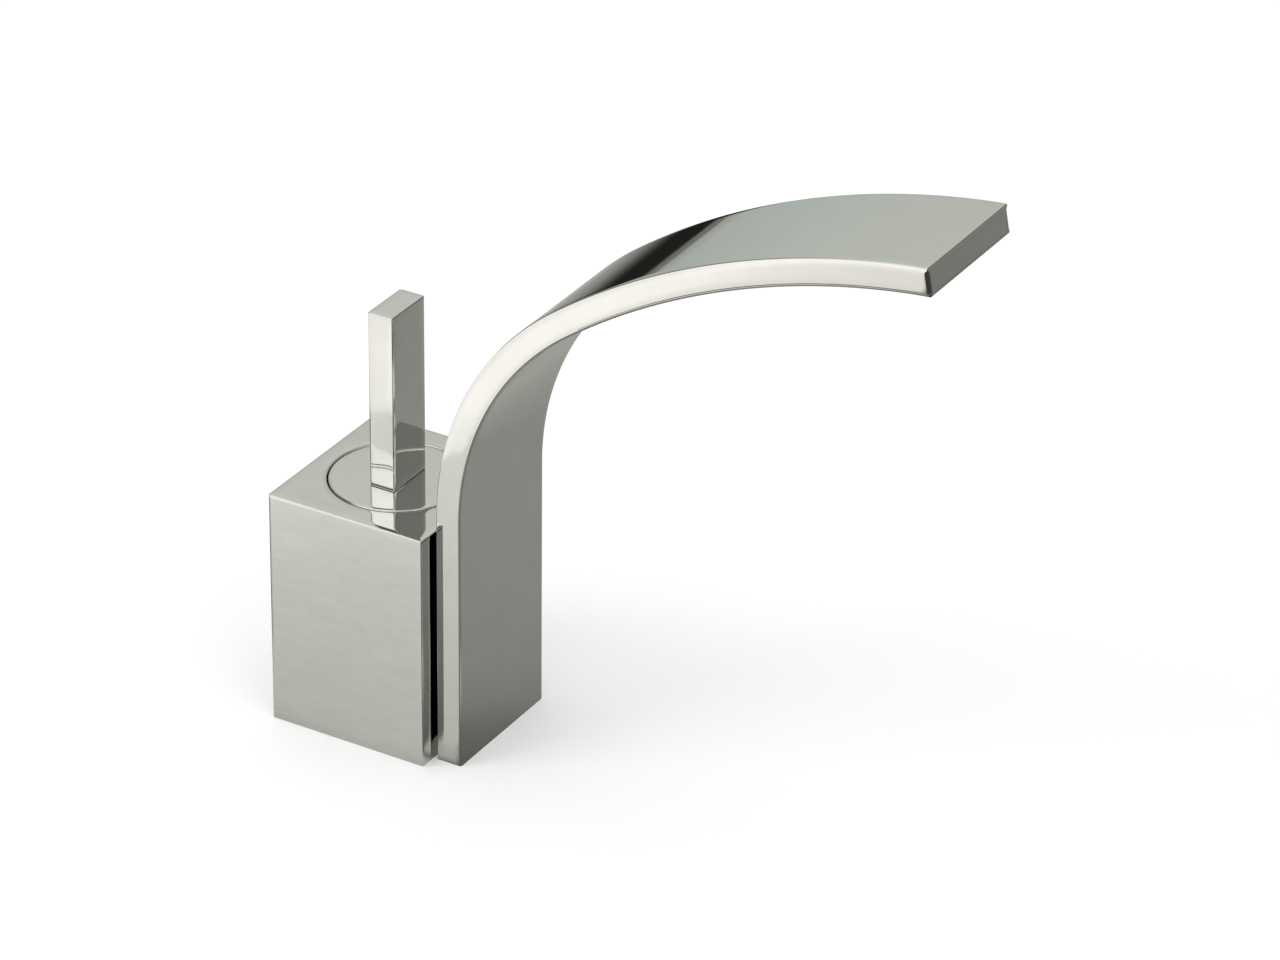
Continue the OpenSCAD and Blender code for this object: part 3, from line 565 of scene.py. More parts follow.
def disc_piece():
    skin = Skin()
    top, low = BLOCK[2], BLOCK[2] - DISC_T
    brink = DISC_R - DISC_RIM
    edge = rolled_strip(brink, NARROW_REACH, top, 1)
    for k in range(ARC_STEPS + 1):
        a = quarter(k)
        b = a + CAP_ROLL * (1 - k / ARC_STEPS)
        edge.append((brink + DISC_RIM * math.sin(a), top - DISC_RIM + DISC_RIM * math.cos(a), math.sin(b), math.cos(b)))
    skin.lathe([[(0, top, 0, 1), (brink - NARROW_REACH, top, 0, 1)], edge])
    # The disc's side, down in the groove, is painted dark as painted shade
    skin.coat = PAINTED_SHADE
    skin.lathe([[(DISC_R, top - DISC_RIM, 1, 0), (DISC_R, low, 1, 0)]])
    skin.coat = PLATED
    skin.lathe([
        [(DISC_R, low, 0, -1), (HUB_R, low, 0, -1)],
        [(HUB_R, low, 1, 0), (HUB_R, low - HUB_H, 1, 0)],
        [(HUB_R, low - HUB_H, 0, -1), (0, low - HUB_H, 0, -1)],
    ])
    skin.build("handle_disc_plate", chrome, "handle", "chrome_plate", "handle_disc")


# Rows at the lever's foot that lie in its joint with the disc, painted dark as painted shade
FOOT_SHADE_ROWS = ARC_STEPS - 3


def lever_piece():
    skin = Skin()
    low, high = BLOCK[2], BLOCK[2] + LEVER[2]
    edges = (LEVER_EDGE, LEVER_BACK_EDGE, LEVER_EDGE, LEVER_NEAR_EDGE)
    outline = round_rect(LEVER[0], LEVER[1], edges)
    # The back face is left open inside its roll-off, and filled round the grub screw's hole
    behind = [abs(s - math.pi) < CLOSE for x, y, a, s in outline]
    ends = [j for j in range(len(outline)) if behind[j] and behind[(j + 1) % len(outline)]]
    flat_row = ARC_STEPS + ROLL_STEPS
    rows = prism(skin, outline, low, high, LEVER_FOOT_RIM, LEVER_TOP_RIM,
                 skip=lambda i, j: i == flat_row and j in ends, shade_mask=lambda i, j: i < FOOT_SHADE_ROWS)
    left, right = sorted(outline[j][1] for j in (ends[0], ends[0] + 1))
    z0, z1 = rows[flat_row][0][0][2], rows[flat_row + 1][0][0][2]
    y, z, r, sink = GRUB
    skin.flat([[(left, z0), (right, z0), (right, z1), (left, z1)], circle(y, z, r + sink, GRUB_STEPS)],
              lambda p: (-LEVER[0] / 2, p[0], p[1]), (-1, 0, 0))
    at = Matrix(((0, 0, 1, -LEVER[0] / 2), (1, 0, 0, y), (0, 1, 0, z), (0, 0, 0, 1)))
    skin.lathe(hole_strips(r, LEVER[0] / 2, sink), at, GRUB_STEPS)
    cap(skin, LEVER, edges, LEVER_TOP_RIM, high, 1)
    skin.flat([pulled(outline, LEVER_FOOT_RIM)], lambda p: upright(p, low), (0, 0, -1))
    skin.build("lever_bar_body", chrome, "handle", "chrome_plate", "lever_bar")


# Side outline of the spout, as in the CAD model apart from the tip: depth goes inwards from the outer surface
CROWN_START = 90 - BEND_ANGLE
TIP_HEADING = CROWN_START - CROWN_ANGLE
PLATE_IN = BLADE_T - PLATE_T
TIP_NORMAL = Vector((math.cos(math.radians(TIP_RAKE)), math.sin(math.radians(TIP_RAKE))))
TIP_UP = Vector((-TIP_NORMAL[1], TIP_NORMAL[0]))


def outward(heading):
    """Normal of the outer surface where the spout runs at an angle above the level."""
    a = math.radians(heading)
    return Vector((-math.sin(a), math.cos(a)))


def forward(heading):
    a = math.radians(heading)
    return Vector((math.cos(a), math.sin(a)))


def thin(d):
    """How much thicker the blade of the spout is than its leg, down to a depth."""
    return d * (BLADE_T - LEG_T) / BLADE_T


def leg_x(d):
    return LEG_FACE_X + d - thin(d)


def bend_at(d, heading):
    return Vector((LEG_FACE_X + BEND_R - thin(d), LEG_H)) + (BEND_R - d) * outward(heading)


def crown_at(d, heading):
    centre = Vector((LEG_FACE_X + BEND_R - thin(d), LEG_H)) + (BEND_R - CROWN_R) * outward(CROWN_START)
    sag = TIP_SAG * max(0.0, TIP_HEADING + SAG_TURN - heading) ** 2 / SAG_TURN ** 2
    return centre + (CROWN_R - d - sag) * outward(heading)


# Rows of the crown over which the seam opens: before them it is brazed and polished flush
SEAM_OPENS = (2, 30)

TIP = crown_at(0, TIP_HEADING - math.degrees(TIP_AHEAD / CROWN_R))
SLOT_HEADING = TIP_HEADING + math.degrees(SLOT_BACK / (CROWN_R - BLADE_T))
SLOT_AT = crown_at(BLADE_T, SLOT_HEADING)

# Search for a heading: degrees looked at past the tip, halvings, and digits that tell two searches apart
SEARCH_PAST = 8
SEARCH_ROUNDS = 44
SEARCH_DIGITS = 5
headings = {}


def heading_on(d, point, normal, shift):
    """Heading at which the crown's circle at a depth crosses a plane."""
    key = tuple(round(v, SEARCH_DIGITS) for v in (d, normal[0], shift))
    if key not in headings:
        low, high = TIP_HEADING - SEARCH_PAST, CROWN_START
        for _ in range(SEARCH_ROUNDS):
            middle = (low + high) / 2
            if (crown_at(d, middle) - point).dot(normal) > shift:
                low = middle
            else:
                high = middle
        headings[key] = (low + high) / 2
    return headings[key]


def tip_heading(d, back):
    return heading_on(d, TIP, TIP_NORMAL, -back)


def slot_heading(d, ahead):
    return heading_on(d, SLOT_AT, forward(SLOT_HEADING), ahead)


def section_point(y, d, ny, nd, end_r=0.0, pull=None):
    """Point of a cross-section: place, normal, radius of the tip's rounding there, and the way that it pulls in."""
    return {"y": y, "d": d, "ny": ny, "nd": nd, "r": end_r, "pull": (ny, nd) if pull is None else pull}


NO_PULL = (0, 0)


def mirrored(left):
    """The same points on the other side, in the opposite order."""
    return [section_point(-s["y"], s["d"], -s["ny"], s["nd"], s["r"], (-s["pull"][0], s["pull"][1]))
            for s in reversed(left)]


def shell_section(seam=SEAM_EDGE):
    """Cross-section of the skin and its two side walls, going round from the left wall's lower edge."""
    half, wall = SPOUT_W / 2, CHANNEL_W / 2
    left = []
    for y, d, ny, nd in arc(-half + seam, PLATE_IN - seam, seam, 90, 180, SEAM_STEPS):
        left.append(section_point(y, d, ny, nd, TIP_SIDE_EDGE, (-1, 0)))
    for k in range(ROLL_STEPS + 1):
        tilt = lean(k / ROLL_STEPS)
        left.append(section_point(-half, PLATE_IN - seam - REACH * k / ROLL_STEPS, -math.cos(tilt), math.sin(tilt),
                                  TIP_SIDE_EDGE, (-1, 0)))
    for k in range(ROLL_STEPS * 2, -1, -1):
        t, tilt = REACH * k / ROLL_STEPS / 2, lean(k / ROLL_STEPS / 2)
        tip_edge = mixed(TIP_TOP_EDGE, TIP_SIDE_EDGE, eased(min(1.0, t / TIP_SIDE_EDGE)))
        left.append(section_point(-half, TOP_EDGE + t, -math.cos(tilt), -math.sin(tilt), tip_edge, (-1, 0)))
    for k in range(ARC_STEPS + 1):
        a = quarter(k)
        b = a + ROLL * (1 - 2 * k / ARC_STEPS)
        left.append(section_point(-half + TOP_EDGE * (1 - math.cos(a)), TOP_EDGE * (1 - math.sin(a)), -math.cos(b),
                                  -math.sin(b), TIP_TOP_EDGE, (-math.cos(a), -math.sin(a))))
    for k in range(1, ROLL_STEPS + 1):
        tilt = lean(k / ROLL_STEPS)
        left.append(section_point(-half + TOP_EDGE + REACH * k / ROLL_STEPS, 0, -math.sin(tilt), -math.cos(tilt),
                                  TIP_TOP_EDGE, (0, -1)))
    inner = [section_point(y, d, ny, nd, 0, NO_PULL) for y, d, ny, nd in (
        (wall, PLATE_IN, 0, 1), (wall, PLATE_IN, -1, 0), (wall, SKIN_T, -1, 0), (wall, SKIN_T, 0, 1),
        (-wall, SKIN_T, 0, 1), (-wall, SKIN_T, 1, 0), (-wall, PLATE_IN, 1, 0), (-wall, PLATE_IN, 0, 1))]
    return left + mirrored(left) + inner


def plate_section(seam=SEAM_EDGE):
    """Cross-section of the lower plate, with points at both ends of the outlet slot."""
    half, slot = SPOUT_W / 2, SLOT_L / 2
    left = []
    for k in range(ROLL_STEPS, 0, -1):
        tilt = lean(k / ROLL_STEPS)
        left.append(section_point(-half + LOW_EDGE + LOW_REACH * k / ROLL_STEPS, BLADE_T, -math.sin(tilt),
                                  math.cos(tilt), TIP_LOW_EDGE, (0, 1)))
    for k in range(LOW_EDGE_STEPS + 1):
        a = quarter(k, LOW_EDGE_STEPS)
        b = a + ROLL * (1 - k / LOW_EDGE_STEPS)
        left.append(section_point(-half + LOW_EDGE * (1 - math.sin(a)), BLADE_T - LOW_EDGE * (1 - math.cos(a)),
                                  -math.sin(b), math.cos(b), mixed(TIP_LOW_EDGE, LOW_EDGE, math.sin(a)),
                                  (-math.sin(a), math.cos(a))))
    for y, d, ny, nd in arc(-half + seam, PLATE_IN + seam, seam, 180, 270, SEAM_STEPS):
        left.append(section_point(y, d, ny, nd, LOW_EDGE, (-1, 0)))
    top = [section_point(y, PLATE_IN, 0, -1, 0, NO_PULL) for y in (-slot, slot)]
    low = [section_point(y, BLADE_T, 0, 1, TIP_LOW_EDGE) for y in (slot, -slot)]
    return left + top + mirrored(left) + low


def along_leg(section, z):
    return [((leg_x(s["d"]), s["y"], z), (s["nd"], s["ny"], 0)) for s in section]


def along_foot(section, a):
    """Row of the rounding at the leg's foot, at an angle from its side."""
    row = []
    for s in section:
        inset, pull = FOOT_EDGE * (1 - math.cos(a)), s["pull"]
        point = (leg_x(s["d"] - pull[1] * inset), s["y"] - pull[0] * inset, FOOT_EDGE * (1 - math.sin(a)))
        c = math.cos(a)
        row.append((point, (c * s["nd"], c * s["ny"], -math.sin(a))))
    return row


def placed(at, out, s):
    """Corner at a point of the side outline, with the normal of a section point turned to the outline's."""
    return ((at[0], s["y"], at[1]), (-s["nd"] * out[0], s["ny"], -s["nd"] * out[1]))


def along_bend(section, heading):
    return [placed(bend_at(s["d"], heading), outward(heading), s) for s in section]


def along_crown(section, first, second, share):
    """Row between two knots, each a function from a section point to its heading."""
    row = []
    for s in section:
        heading = first(s) + (second(s) - first(s)) * share
        row.append(placed(crown_at(s["d"], heading), outward(heading), s))
    return row


def along_tip(section, a, back=0.0, tilt=0.0):
    """Row of the tip's rounding at an angle, or a distance back from where the rounding starts."""
    row = []
    for s in section:
        inset, pull = s["r"] * (1 - math.cos(a)), s["pull"]
        d = s["d"] - pull[1] * inset
        heading = tip_heading(d, back + s["r"] * (1 - math.sin(a)))
        at, out = crown_at(d, heading), outward(heading)
        c, n = math.cos(a + tilt), math.sin(a + tilt)
        normal = (-s["nd"] * out[0] * c + TIP_NORMAL[0] * n, s["ny"] * c, -s["nd"] * out[1] * c + TIP_NORMAL[1] * n)
        row.append(((at[0], s["y"] - pull[0] * inset, at[1]), normal))
    return row


def foot_rows(section):
    return [along_foot(section, math.pi / 2 * (1 - k / FOOT_STEPS)) for k in range(FOOT_STEPS + 1)]


def body_rows(section):
    """Leg and bend, up to where the crown starts."""
    rows = [along_leg(section, LEG_H * k / LEG_STEPS) for k in range(1, LEG_STEPS + 1)]
    rows += [along_bend(section, 90 - BEND_ANGLE * k / BEND_STEPS) for k in range(1, BEND_STEPS + 1)]
    return rows


def crown_rows(make, first, second, steps):
    """Rows of the crown from one knot to the next, each on a section of its own."""
    return [along_crown(make(k), first, second, k / steps) for k in range(1, steps + 1)]


def tip_rows(section, rolled=True):
    rows = []
    if rolled:
        rows = [along_tip(section, 0.0, REACH * k / ROLL_STEPS, lean(k / ROLL_STEPS))
                for k in range(ROLL_STEPS, -1, -1)]
    tilt = ROLL if rolled else 0.0
    rows += [along_tip(section, quarter(k), 0.0, tilt * (1 - k / ARC_STEPS)) for k in range(1, ARC_STEPS + 1)]
    return rows


def end_loop(row):
    """A row seen square to the tip's end face."""
    return [(p[1], (Vector((p[0], p[2])) - TIP).dot(TIP_UP)) for p, n in row]


def end_place(p):
    at = TIP + p[1] * TIP_UP
    return (at[0], p[0], at[1])


def close_ends(skin, foot_row, tip_row):
    skin.flat([[(p[0], p[1]) for p, n in foot_row]], lambda p: upright(p, 0), (0, 0, -1))
    skin.flat([end_loop(tip_row)], end_place, (TIP_NORMAL[0], 0, TIP_NORMAL[1]))


def opened(make, k):
    """Section at a row of the crown, with the seam as far open as it is there."""
    return make(mixed(BRAZED_EDGE, SEAM_EDGE, soft_step(k, *SEAM_OPENS)))


def in_seam(section, j):
    """True for the little roundings that meet along the side seam, which are painted dark as painted shade."""
    return all(abs(abs(s["y"]) - SPOUT_W / 2) <= SEAM_EDGE + CLOSE and abs(s["d"] - PLATE_IN) <= SEAM_EDGE + CLOSE
               for s in (section[j], section[(j + 1) % len(section)]))


def shell_piece():
    skin = Skin()
    section, brazed = shell_section(), shell_section(BRAZED_EDGE)
    rows = foot_rows(brazed) + body_rows(brazed)
    first = len(rows)
    rows += crown_rows(lambda k: opened(shell_section, k), lambda s: CROWN_START,
                       lambda s: tip_heading(s["d"], s["r"] + REACH), CROWN_STEPS)
    rows += tip_rows(section)
    # The open seam's roundings along the crown are painted dark as painted shade
    skin.grid(rows, wrap=True, shade_mask=lambda i, j: i >= first + SEAM_OPENS[0] and in_seam(section, j))
    close_ends(skin, rows[0], rows[-1])
    skin.build("spout_shell_skin", chrome, "faucet_body", "chrome_plate", "spout_shell")


def plate_piece():
    skin = Skin()
    section, brazed, whole = plate_section(), plate_section(BRAZED_EDGE), opened(plate_section, CROWN_STEPS)
    rows = foot_rows(brazed) + body_rows(brazed)
    first = len(rows)
    # Knots of the crown: its start, both sides of the outlet slot, and where the tip rolls off
    start, near = lambda s: CROWN_START, lambda s: slot_heading(s["d"], -SLOT_W / 2)
    far, end = lambda s: slot_heading(s["d"], SLOT_W / 2), lambda s: tip_heading(s["d"], s["r"] + REACH)
    rows += crown_rows(lambda k: opened(plate_section, k), start, near, TO_SLOT_STEPS)
    slot_rows = range(len(rows) - 1, len(rows) + SLOT_STEPS)
    rows += crown_rows(lambda k: whole, near, far, SLOT_STEPS)
    rows += crown_rows(lambda k: whole, far, end, TO_TIP_STEPS)
    rows += tip_rows(section)
    at_slot = [abs(abs(s["y"]) - SLOT_L / 2) < CLOSE for s in section]
    spans = [j for j in range(len(section)) if at_slot[j] and at_slot[(j + 1) % len(section)]]
    # The open seam's roundings along the crown are painted dark as painted shade
    skin.grid(rows, wrap=True, skip=lambda i, j: j in spans and i in slot_rows[:-1],
              shade_mask=lambda i, j: i >= first + SEAM_OPENS[0] and in_seam(section, j))
    close_ends(skin, rows[0], rows[-1])
    # Walls of the slot
    corners = {(s["y"] > 0, s["d"] > PLATE_IN + PLATE_T / 2): j for j, s in enumerate(section) if at_slot[j]}
    for side in (False, True):
        n = (0, -1 if side else 1, 0)
        skin.grid([[(rows[i][corners[(side, low)]][0], n) for low in (False, True)] for i in slot_rows])
    ahead = forward(SLOT_HEADING)
    for i, way in ((slot_rows[0], 1), (slot_rows[-1], -1)):
        n = (way * ahead[0], 0, way * ahead[1])
        skin.grid([[(rows[i][corners[(side, low)]][0], n) for side in (False, True)] for low in (False, True)])
    skin.build("spout_lower_plate", chrome, "faucet_body", "chrome_plate", "spout_underside")


def end_plate_piece():
    skin = Skin()
    wall, r = CHANNEL_W / 2, SEAM_EDGE
    section = []
    for y, d, ny, nd in (
            (-wall, PLATE_IN, -1, 0), (-wall, SKIN_T, -1, 0), (-wall, SKIN_T, 0, -1), (wall, SKIN_T, 0, -1),
            (wall, SKIN_T, 1, 0), (wall, PLATE_IN, 1, 0), (wall, PLATE_IN, 0, 1), (-wall, PLATE_IN, 0, 1)):
        pull = (math.copysign(1, y), 1 if d > SKIN_T else -1)
        section.append(section_point(y, d, ny, nd, r, pull))
    back, front = lambda s: tip_heading(s["d"], END_T), lambda s: tip_heading(s["d"], r)
    rows = [along_crown(section, back, front, k / END_STEPS) for k in range(END_STEPS + 1)]
    rows += tip_rows(section, False)
    # The rounding round the end plate at the tip is painted dark as painted shade
    skin.grid(rows, wrap=True, shade_mask=lambda i, j: i >= END_STEPS)
    skin.flat([end_loop(rows[-1])], end_place, (TIP_NORMAL[0], 0, TIP_NORMAL[1]))
    inner = TIP - END_T * TIP_NORMAL
    skin.flat([end_loop(rows[0])], lambda p: (inner[0] + p[1] * TIP_UP[0], p[0], inner[1] + p[1] * TIP_UP[1]),
              (-TIP_NORMAL[0], 0, -TIP_NORMAL[1]))
    skin.build("spout_end_cap", chrome, "faucet_body", "chrome_plate", "spout_end_plate")


block_piece()
disc_piece()
lever_piece()
shell_piece()
plate_piece()
end_plate_piece()


# Studio: a plain pale floor and white surround, and toned cards that only the chrome sees, which paint its reflections
def emitter(name):
    """Plain glow whose colour is that of the card's own points."""
    mat = bpy.data.materials.new(name)
    mat.use_nodes = True
    mat.cycles.emission_sampling = "NONE"
    tree = mat.node_tree
    tree.nodes.clear()
    out = tree.nodes.new("ShaderNodeOutputMaterial")
    glow = tree.nodes.new("ShaderNodeEmission")
    tone = tree.nodes.new("ShaderNodeAttribute")
    tone.attribute_name = "tone"
    tree.links.new(tone.outputs["Color"], glow.inputs["Color"])
    tree.links.new(glow.outputs["Emission"], out.inputs["Surface"])
    return mat


def card(name, points, columns, tone):
    """Card of a grid of points, in millimetres, seen in reflections only."""
    rows = len(points) // columns
    faces = [(i * columns + j, i * columns + j + 1, (i + 1) * columns + j + 1, (i + 1) * columns + j)
             for i in range(rows - 1) for j in range(columns - 1)]
    mesh = bpy.data.meshes.new(name)
    mesh.from_pydata([tuple(v * MM for v in p) for p in points], [], faces)
    tones = mesh.color_attributes.new("tone", "FLOAT_COLOR", "POINT")
    tones.data.foreach_set("color", [v for p in points for v in (*tone(p), 1.0)])
    mesh.materials.append(emitter(name))
    obj = bpy.data.objects.new(name, mesh)
    bpy.context.scene.collection.objects.link(obj)
    obj.visible_camera = False
    obj.visible_diffuse = False
    obj.visible_shadow = False
    obj.visible_transmission = False


def tinted(value, tint):
    return [min(1.0, value * t) for t in tint]


NEUTRAL, WARM, COOL = (0.985, 1.01, 0.92), (1.013, 0.987, 0.94), (0.96, 1.04, 0.97)

# Tones of the floor's card, a painted reflection as the chrome mirrors it, with painted shadow near the object's foot.
# Stops are (millimetres or degrees, tone), and other pairs tell where a change starts and ends. The leg's foot: its
# middle and half its depth in x
LEG_MIDDLE, LEG_HALF = 30, 4
# Left of the faucet: by the distance from its foot, darkest at the foot as painted shadow, a little lighter far
# off, and dark towards the back
CONTACT = ((0, 0.455), (7, 0.475), (27, 0.50), (56, 0.54), (86, 0.58), (101, 0.62), (125, 0.66))
LEFT_LIFT, LEFT_LIFT_X = 0.04, (80, 120)
LEFT_DARK, LEFT_DARK_TURN, LEFT_DARK_REACH = 0.12, (130, 137), (60, 90)
# Right of it: by the same distance, dark as painted shade, with one light patch
SHADED = ((0, 0.09), (15, 0.13), (90, 0.18))
PATCH_AT, PATCH_R, PATCH_TONE = (75.0, -41.0), 30.0, 0.42
# The two meet along a ray from the leg
RAY_FROM, RAY_TURN = (31, -21.5), (-104, -92)
# Behind it: along the diagonal of x and y, darkest near it as painted shadow, and by the turn
DIAGONAL = 0.7071
BEHIND = ((15, 0.118), (27, 0.137), (40, 0.19), (53, 0.215), (64, 0.227), (100, 0.243), (150, 0.25))
BEHIND_TURN = ((60, 0.0), (68, 0.035), (85, 0.10), (102, 0.10), (115, 0.0), (150, 0.1))
BEHIND_Y = (-35, -5)
# Beyond a round table of this radius, whose edge is partly soft: in front by x, and white far off on the left,
# behind by the turn, and in one sector at the back by the distance
TABLE_R = 182.0
RIM_IN, RIM_OUT, SOFT_W, SOFT_SHARE = 1, 2, 40, 0.25
FRONT_RING = ((-160, 0.86), (-120, 0.89), (-80, 1.0), (-60, 0.96), (-45, 0.87), (-15, 0.775), (30, 0.72), (60, 0.3),
              (95, 0.04))
WHITE_REACH, WHITE_X = (350, 520), (-60, 0)
BACK_RING = ((0, 0.05), (30, 0.12), (56, 0.24), (90, 0.42), (113, 0.58), (140, 0.5), (180, 0.3))
BACK_Y = (-20, 20)
FAR = ((250, 0.6), (285, 0.52), (360, 0.38), (450, 0.28), (506, 0.217), (540, 0.17), (570, 0.13), (600, 0.095),
       (630, 0.064), (670, 0.04), (705, 0.023), (745, 0.0125), (1190, 0.0125), (1250, 0.15), (1480, 0.15), (1540, 0.34),
       (2100, 0.4))
FAR_REACH, FAR_TURN, FAR_END = (230, 270), (95, 110), (-165, -150)
WARM_TONE = (0.5, 0.8)


def off_foot(x, y):
    """Distance from the feet of the block and the leg."""
    block = math.hypot(max(abs(x) - BLOCK[0] / 2, 0), max(abs(y) - BLOCK[1] / 2, 0))
    leg = math.hypot(max(abs(x - LEG_MIDDLE) - LEG_HALF, 0), max(abs(y) - SPOUT_W / 2, 0))
    return min(block, leg)


def floor_tone(p):
    x, y = p[0], p[1]
    reach, turn = math.hypot(x, y), math.degrees(math.atan2(y, x))
    left = between(off_foot(x, y), CONTACT) + LEFT_LIFT * soft_step(-x, *LEFT_LIFT_X)
    left = mixed(left, LEFT_DARK, soft_step(-turn, *LEFT_DARK_TURN) * soft_step(reach, *LEFT_DARK_REACH))
    right = between(off_foot(x, y), SHADED)
    light = max(0.0, 1 - math.hypot(x - PATCH_AT[0], y - PATCH_AT[1]) / PATCH_R)
    right = mixed(right, PATCH_TONE, eased(light))
    back = between((x + y) * DIAGONAL, BEHIND) + between(abs(turn), BEHIND_TURN)
    ray = math.degrees(math.atan2(y - RAY_FROM[1], x - RAY_FROM[0]))
    front = mixed(left, right, soft_step(ray, *RAY_TURN))
    near = mixed(front, back, soft_step(y, *BEHIND_Y))
    ring = mixed(between(x, FRONT_RING), 1.0, soft_step(reach, *WHITE_REACH) * soft_step(-x, *WHITE_X))
    far = mixed(ring, between(abs(turn), BACK_RING), soft_step(y, *BACK_Y))
    sector = soft_step(reach, *FAR_REACH) * soft_step(turn, *FAR_TURN) * soft_step(-turn, *FAR_END)
    far = mixed(far, between(reach, FAR), sector)
    out = mixed(soft_step(reach, TABLE_R - RIM_IN, TABLE_R + RIM_OUT), soft_step(reach, TABLE_R, TABLE_R + SOFT_W),
                SOFT_SHARE)
    tone = mixed(near, far, out)
    return tinted(tone, [mixed(a, b, out * soft_step(tone, *WARM_TONE)) for a, b in zip(NEUTRAL, WARM)])


# Tones of the dome: by the turn and the rise, with a dark gap and white above it at the front left, and at the top
# light in front and darker behind
DOME_R = 2200.0
SIDES = ((-180, 0.2), (-146, 0.1), (-138, 0.3), (-131, 0.8), (-128, 0.89), (-100, 0.93), (-75, 0.5), (-60, 0.05),
         (-30, 0.02), (0, 0.03), (30, 0.1), (58, 0.158), (80, 0.3), (100, 0.45), (125, 0.53), (150, 0.4), (180, 0.3))
RISE = ((-4, 0.75), (2, 0.81), (9, 0.86), (19, 0.93), (29, 1.0), (38, 1.12))
GAP_TONE, GAP_FROM, GAP_TO = 0.08, (34, 36), (42, 44)
GAP_TURN, GAP_END = (-170, -140), (75, 100)
TOP_FRONT, TOP_BACK, TOP_Y, TOP_RISE = 0.9, 0.4, (-0.15, 0.15), (45, 60)
COOL_TURN, COOL_RISE = (80, 110), (-25, -5)
WARM_SKY = (0.6, 0.85)


def dome_tone(p):
    turn, rise = math.degrees(math.atan2(p[1], p[0])), math.degrees(math.asin(max(-1.0, min(1.0, p[2] / DOME_R))))
    tone = min(1.0, between(turn, SIDES) * between(rise, RISE))
    front_left = soft_step(turn, *GAP_TURN) * soft_step(-turn, *GAP_END)
    tone = mixed(tone, GAP_TONE, soft_step(rise, *GAP_FROM) * front_left)
    tone = mixed(tone, 1.0, soft_step(rise, *GAP_TO) * front_left)
    top = mixed(TOP_FRONT, TOP_BACK, soft_step(p[1] / DOME_R, *TOP_Y))
    tone = mixed(tone, top, soft_step(rise, *TOP_RISE))
    cool = soft_step(turn, *COOL_TURN) * soft_step(-rise, *COOL_RISE)
    warm = soft_step(tone, *WARM_SKY)
    return tinted(tone, [mixed(mixed(a, b, cool), c, warm) for a, b, c in zip(NEUTRAL, COOL, WARM)])


# Grids of both cards, as (first, last, step), finer where their tones change fast
TABLE_GRID = ((-2100, -650, 50), (-600, -220, 20), (-210, 210, 3), (220, 600, 20), (650, 2100, 50))
TABLE_LIFT = 0.05
DOME_TURNS = (-180, 180, 3)
DOME_RISES = ((-3, 27, 3), (28, 50, 1), (52, 90, 2))


def stepped(low, high, step):
    count = round((high - low) / step)
    return [low + (high - low) * k / count for k in range(count + 1)]


def dome_point(turn, rise):
    t, r = math.radians(turn), math.radians(rise)
    return (DOME_R * math.cos(t) * math.cos(r), DOME_R * math.sin(t) * math.cos(r), DOME_R * math.sin(r))


def studio_cards():
    across = [x for span in TABLE_GRID for x in stepped(*span)]
    card("card_table", [(x, y, TABLE_LIFT) for y in across for x in across], len(across), floor_tone)
    turns, rises = stepped(*DOME_TURNS), [r for span in DOME_RISES for r in stepped(*span)]
    card("card_dome", [dome_point(t, r) for r in rises for t in turns], len(turns), dome_tone)


FLOOR_GLOW = 0.22
FLOOR_HALF, FLOOR_Z_M = 4, -0.0001


def studio_floor():
    """Pale floor that the camera, and mirrors, see a little lighter, up to white, with the shadow kept."""
    mat = surface("floor_pale", (0.97, 0.97, 0.965), 0.0, (0.8, 0.9), 20.0)
    tree = mat.node_tree
    rays = tree.nodes.new("ShaderNodeLightPath")
    lift = tree.nodes.new("ShaderNodeMath")
    lift.operation = "MULTIPLY"
    lift.inputs[1].default_value = FLOOR_GLOW
    glow = tree.nodes.new("ShaderNodeEmission")
    both = tree.nodes.new("ShaderNodeAddShader")
    tree.links.new(any_view_ray(tree, rays), lift.inputs[0])
    tree.links.new(lift.outputs[0], glow.inputs["Strength"])
    tree.links.new(tree.nodes["Principled BSDF"].outputs[0], both.inputs[0])
    tree.links.new(glow.outputs[0], both.inputs[1])
    tree.links.new(both.outputs[0], tree.nodes["Material Output"].inputs["Surface"])
    mat.cycles.emission_sampling = "NONE"
    mesh = bpy.data.meshes.new("floor")
    corners = [(x * FLOOR_HALF, y * FLOOR_HALF, FLOOR_Z_M) for x, y in ((-1, -1), (1, -1), (1, 1), (-1, 1))]
    mesh.from_pydata(corners, [], [(0, 1, 2, 3)])
    mesh.materials.append(mat)
    obj = bpy.data.objects.new("floor", mesh)
    bpy.context.scene.collection.objects.link(obj)


def any_view_ray(tree, rays):
    """1 for camera, glossy and transmission rays."""
    last = rays.outputs["Is Camera Ray"]
    for name in ("Is Glossy Ray", "Is Transmission Ray"):
        either = tree.nodes.new("ShaderNodeMath")
        either.operation = "MAXIMUM"
        tree.links.new(last, either.inputs[0])
        tree.links.new(rays.outputs[name], either.inputs[1])
        last = either.outputs[0]
    return last


# Strength of the world as light on the object, and as seen by the camera and in mirrors
SOFT_WHITE, SEEN_WHITE = 0.74, 1.0


def studio_world():
    world = bpy.data.worlds.new("studio")
    bpy.context.scene.world = world
    world.use_nodes = True
    tree = world.node_tree
    tree.nodes.clear()
    out = tree.nodes.new("ShaderNodeOutputWorld")
    mix = tree.nodes.new("ShaderNodeMixShader")
    rays = tree.nodes.new("ShaderNodeLightPath")
    tree.links.new(any_view_ray(tree, rays), mix.inputs["Fac"])
    for socket, strength in ((1, SOFT_WHITE), (2, SEEN_WHITE)):
        white = tree.nodes.new("ShaderNodeBackground")
        solid_node_color(white.inputs["Color"], (1, 1, 1))
        white.inputs["Strength"].default_value = strength
        tree.links.new(white.outputs[0], mix.inputs[socket])
    tree.links.new(mix.outputs[0], out.inputs["Surface"])


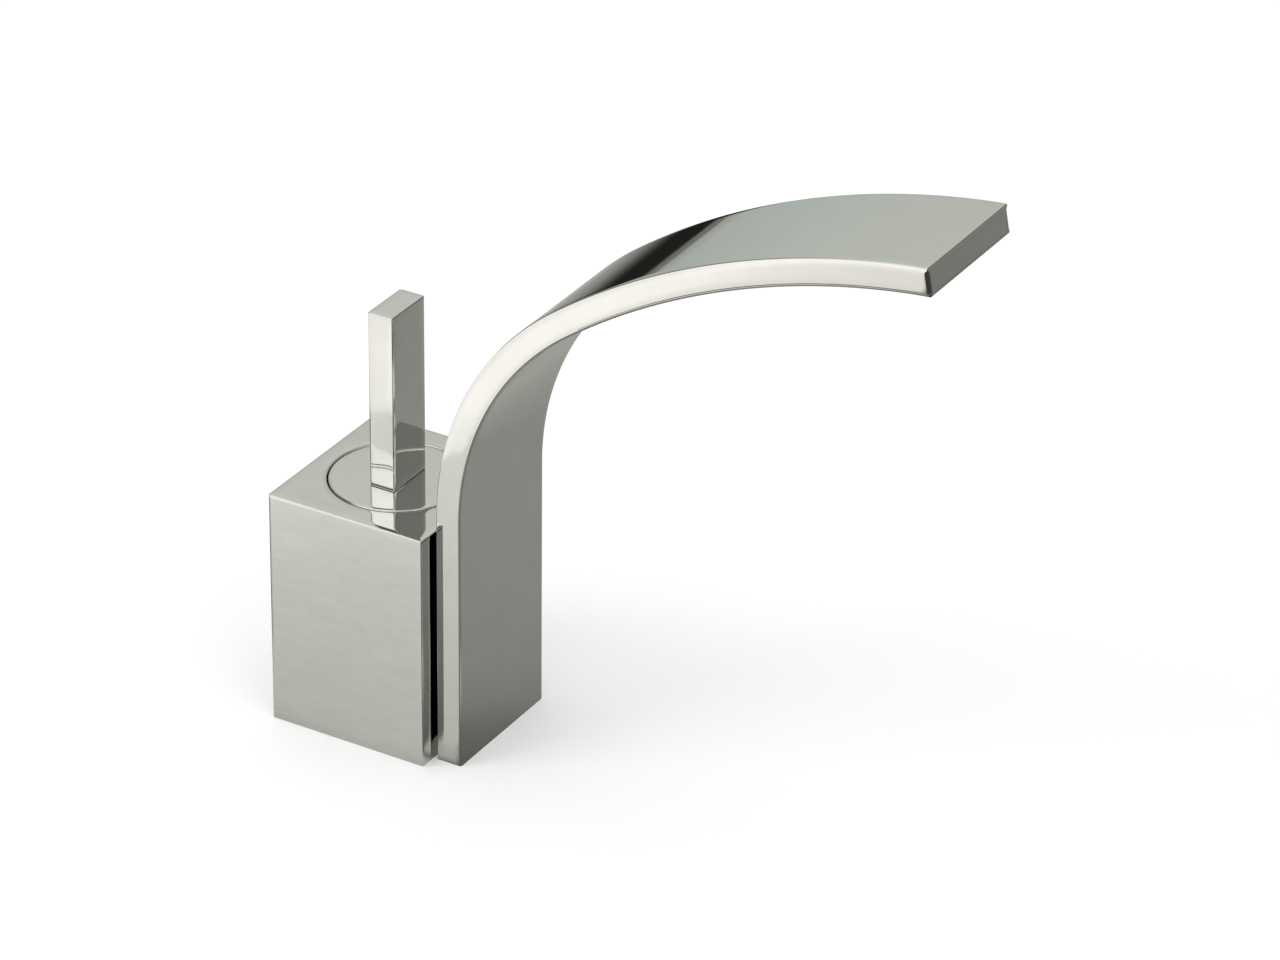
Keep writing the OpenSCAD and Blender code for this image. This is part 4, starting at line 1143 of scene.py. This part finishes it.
# Lamps: name, place in millimetres, power. They light what isn't chrome, and aren't mirrored
LAMPS = (("softbox_key", (-900, -1100, 1500), 7.0), ("softbox_fill", (1200, -700, 1100), 3.0))
LAMP_AIM = (60, 0, 60)
LAMP_SIZE = 900


def softbox(name, at, watts):
    lamp = bpy.data.lights.new(name, "AREA")
    lamp.shape = "SQUARE"
    lamp.size = LAMP_SIZE * MM
    lamp.energy = watts
    obj = bpy.data.objects.new(name, lamp)
    obj.location = Vector(at) * MM
    obj.rotation_euler = (Vector(at) - Vector(LAMP_AIM)).to_track_quat("Z", "Y").to_euler()
    obj.visible_glossy = False
    bpy.context.scene.collection.objects.link(obj)


# Camera solved from the straight edges of the photograph, in degrees, millimetres and the photograph's pixels
AZIMUTH, ELEVATION, CAMERA_ROLL = 30.491, 29.45, 0.699
DISTANCE, SHIFT_SIDE, SHIFT_UP = 1706.1, 67.61, 61.75
SENSOR, FOCAL_PIXELS, PHOTO_W = 36.0, 6048.95, 1280
CLIP_END_M = 20.0


def camera():
    az, el, roll = math.radians(AZIMUTH), math.radians(ELEVATION), math.radians(CAMERA_ROLL)
    back = Vector((math.sin(az) * math.cos(el), -math.cos(az) * math.cos(el), math.sin(el)))
    right = Vector((0, 0, 1)).cross(back).normalized()
    up = back.cross(right)
    side = right * math.cos(roll) + up * math.sin(roll)
    top = up * math.cos(roll) - right * math.sin(roll)
    data = bpy.data.cameras.new("camera")
    data.sensor_width = SENSOR
    data.lens = SENSOR * FOCAL_PIXELS / PHOTO_W
    data.clip_end = CLIP_END_M
    obj = bpy.data.objects.new("camera", data)
    at = (back * DISTANCE + side * SHIFT_SIDE + top * SHIFT_UP) * MM
    obj.matrix_world = Matrix((
        (side[0], top[0], back[0], at[0]), (side[1], top[1], back[1], at[1]),
        (side[2], top[2], back[2], at[2]), (0, 0, 0, 1)))
    bpy.context.scene.collection.objects.link(obj)
    bpy.context.scene.camera = obj


studio_cards()
studio_floor()
studio_world()
for lamp_name, lamp_at, lamp_watts in LAMPS:
    softbox(lamp_name, lamp_at, lamp_watts)
camera()
bpy.context.scene.view_settings.view_transform = "Standard"
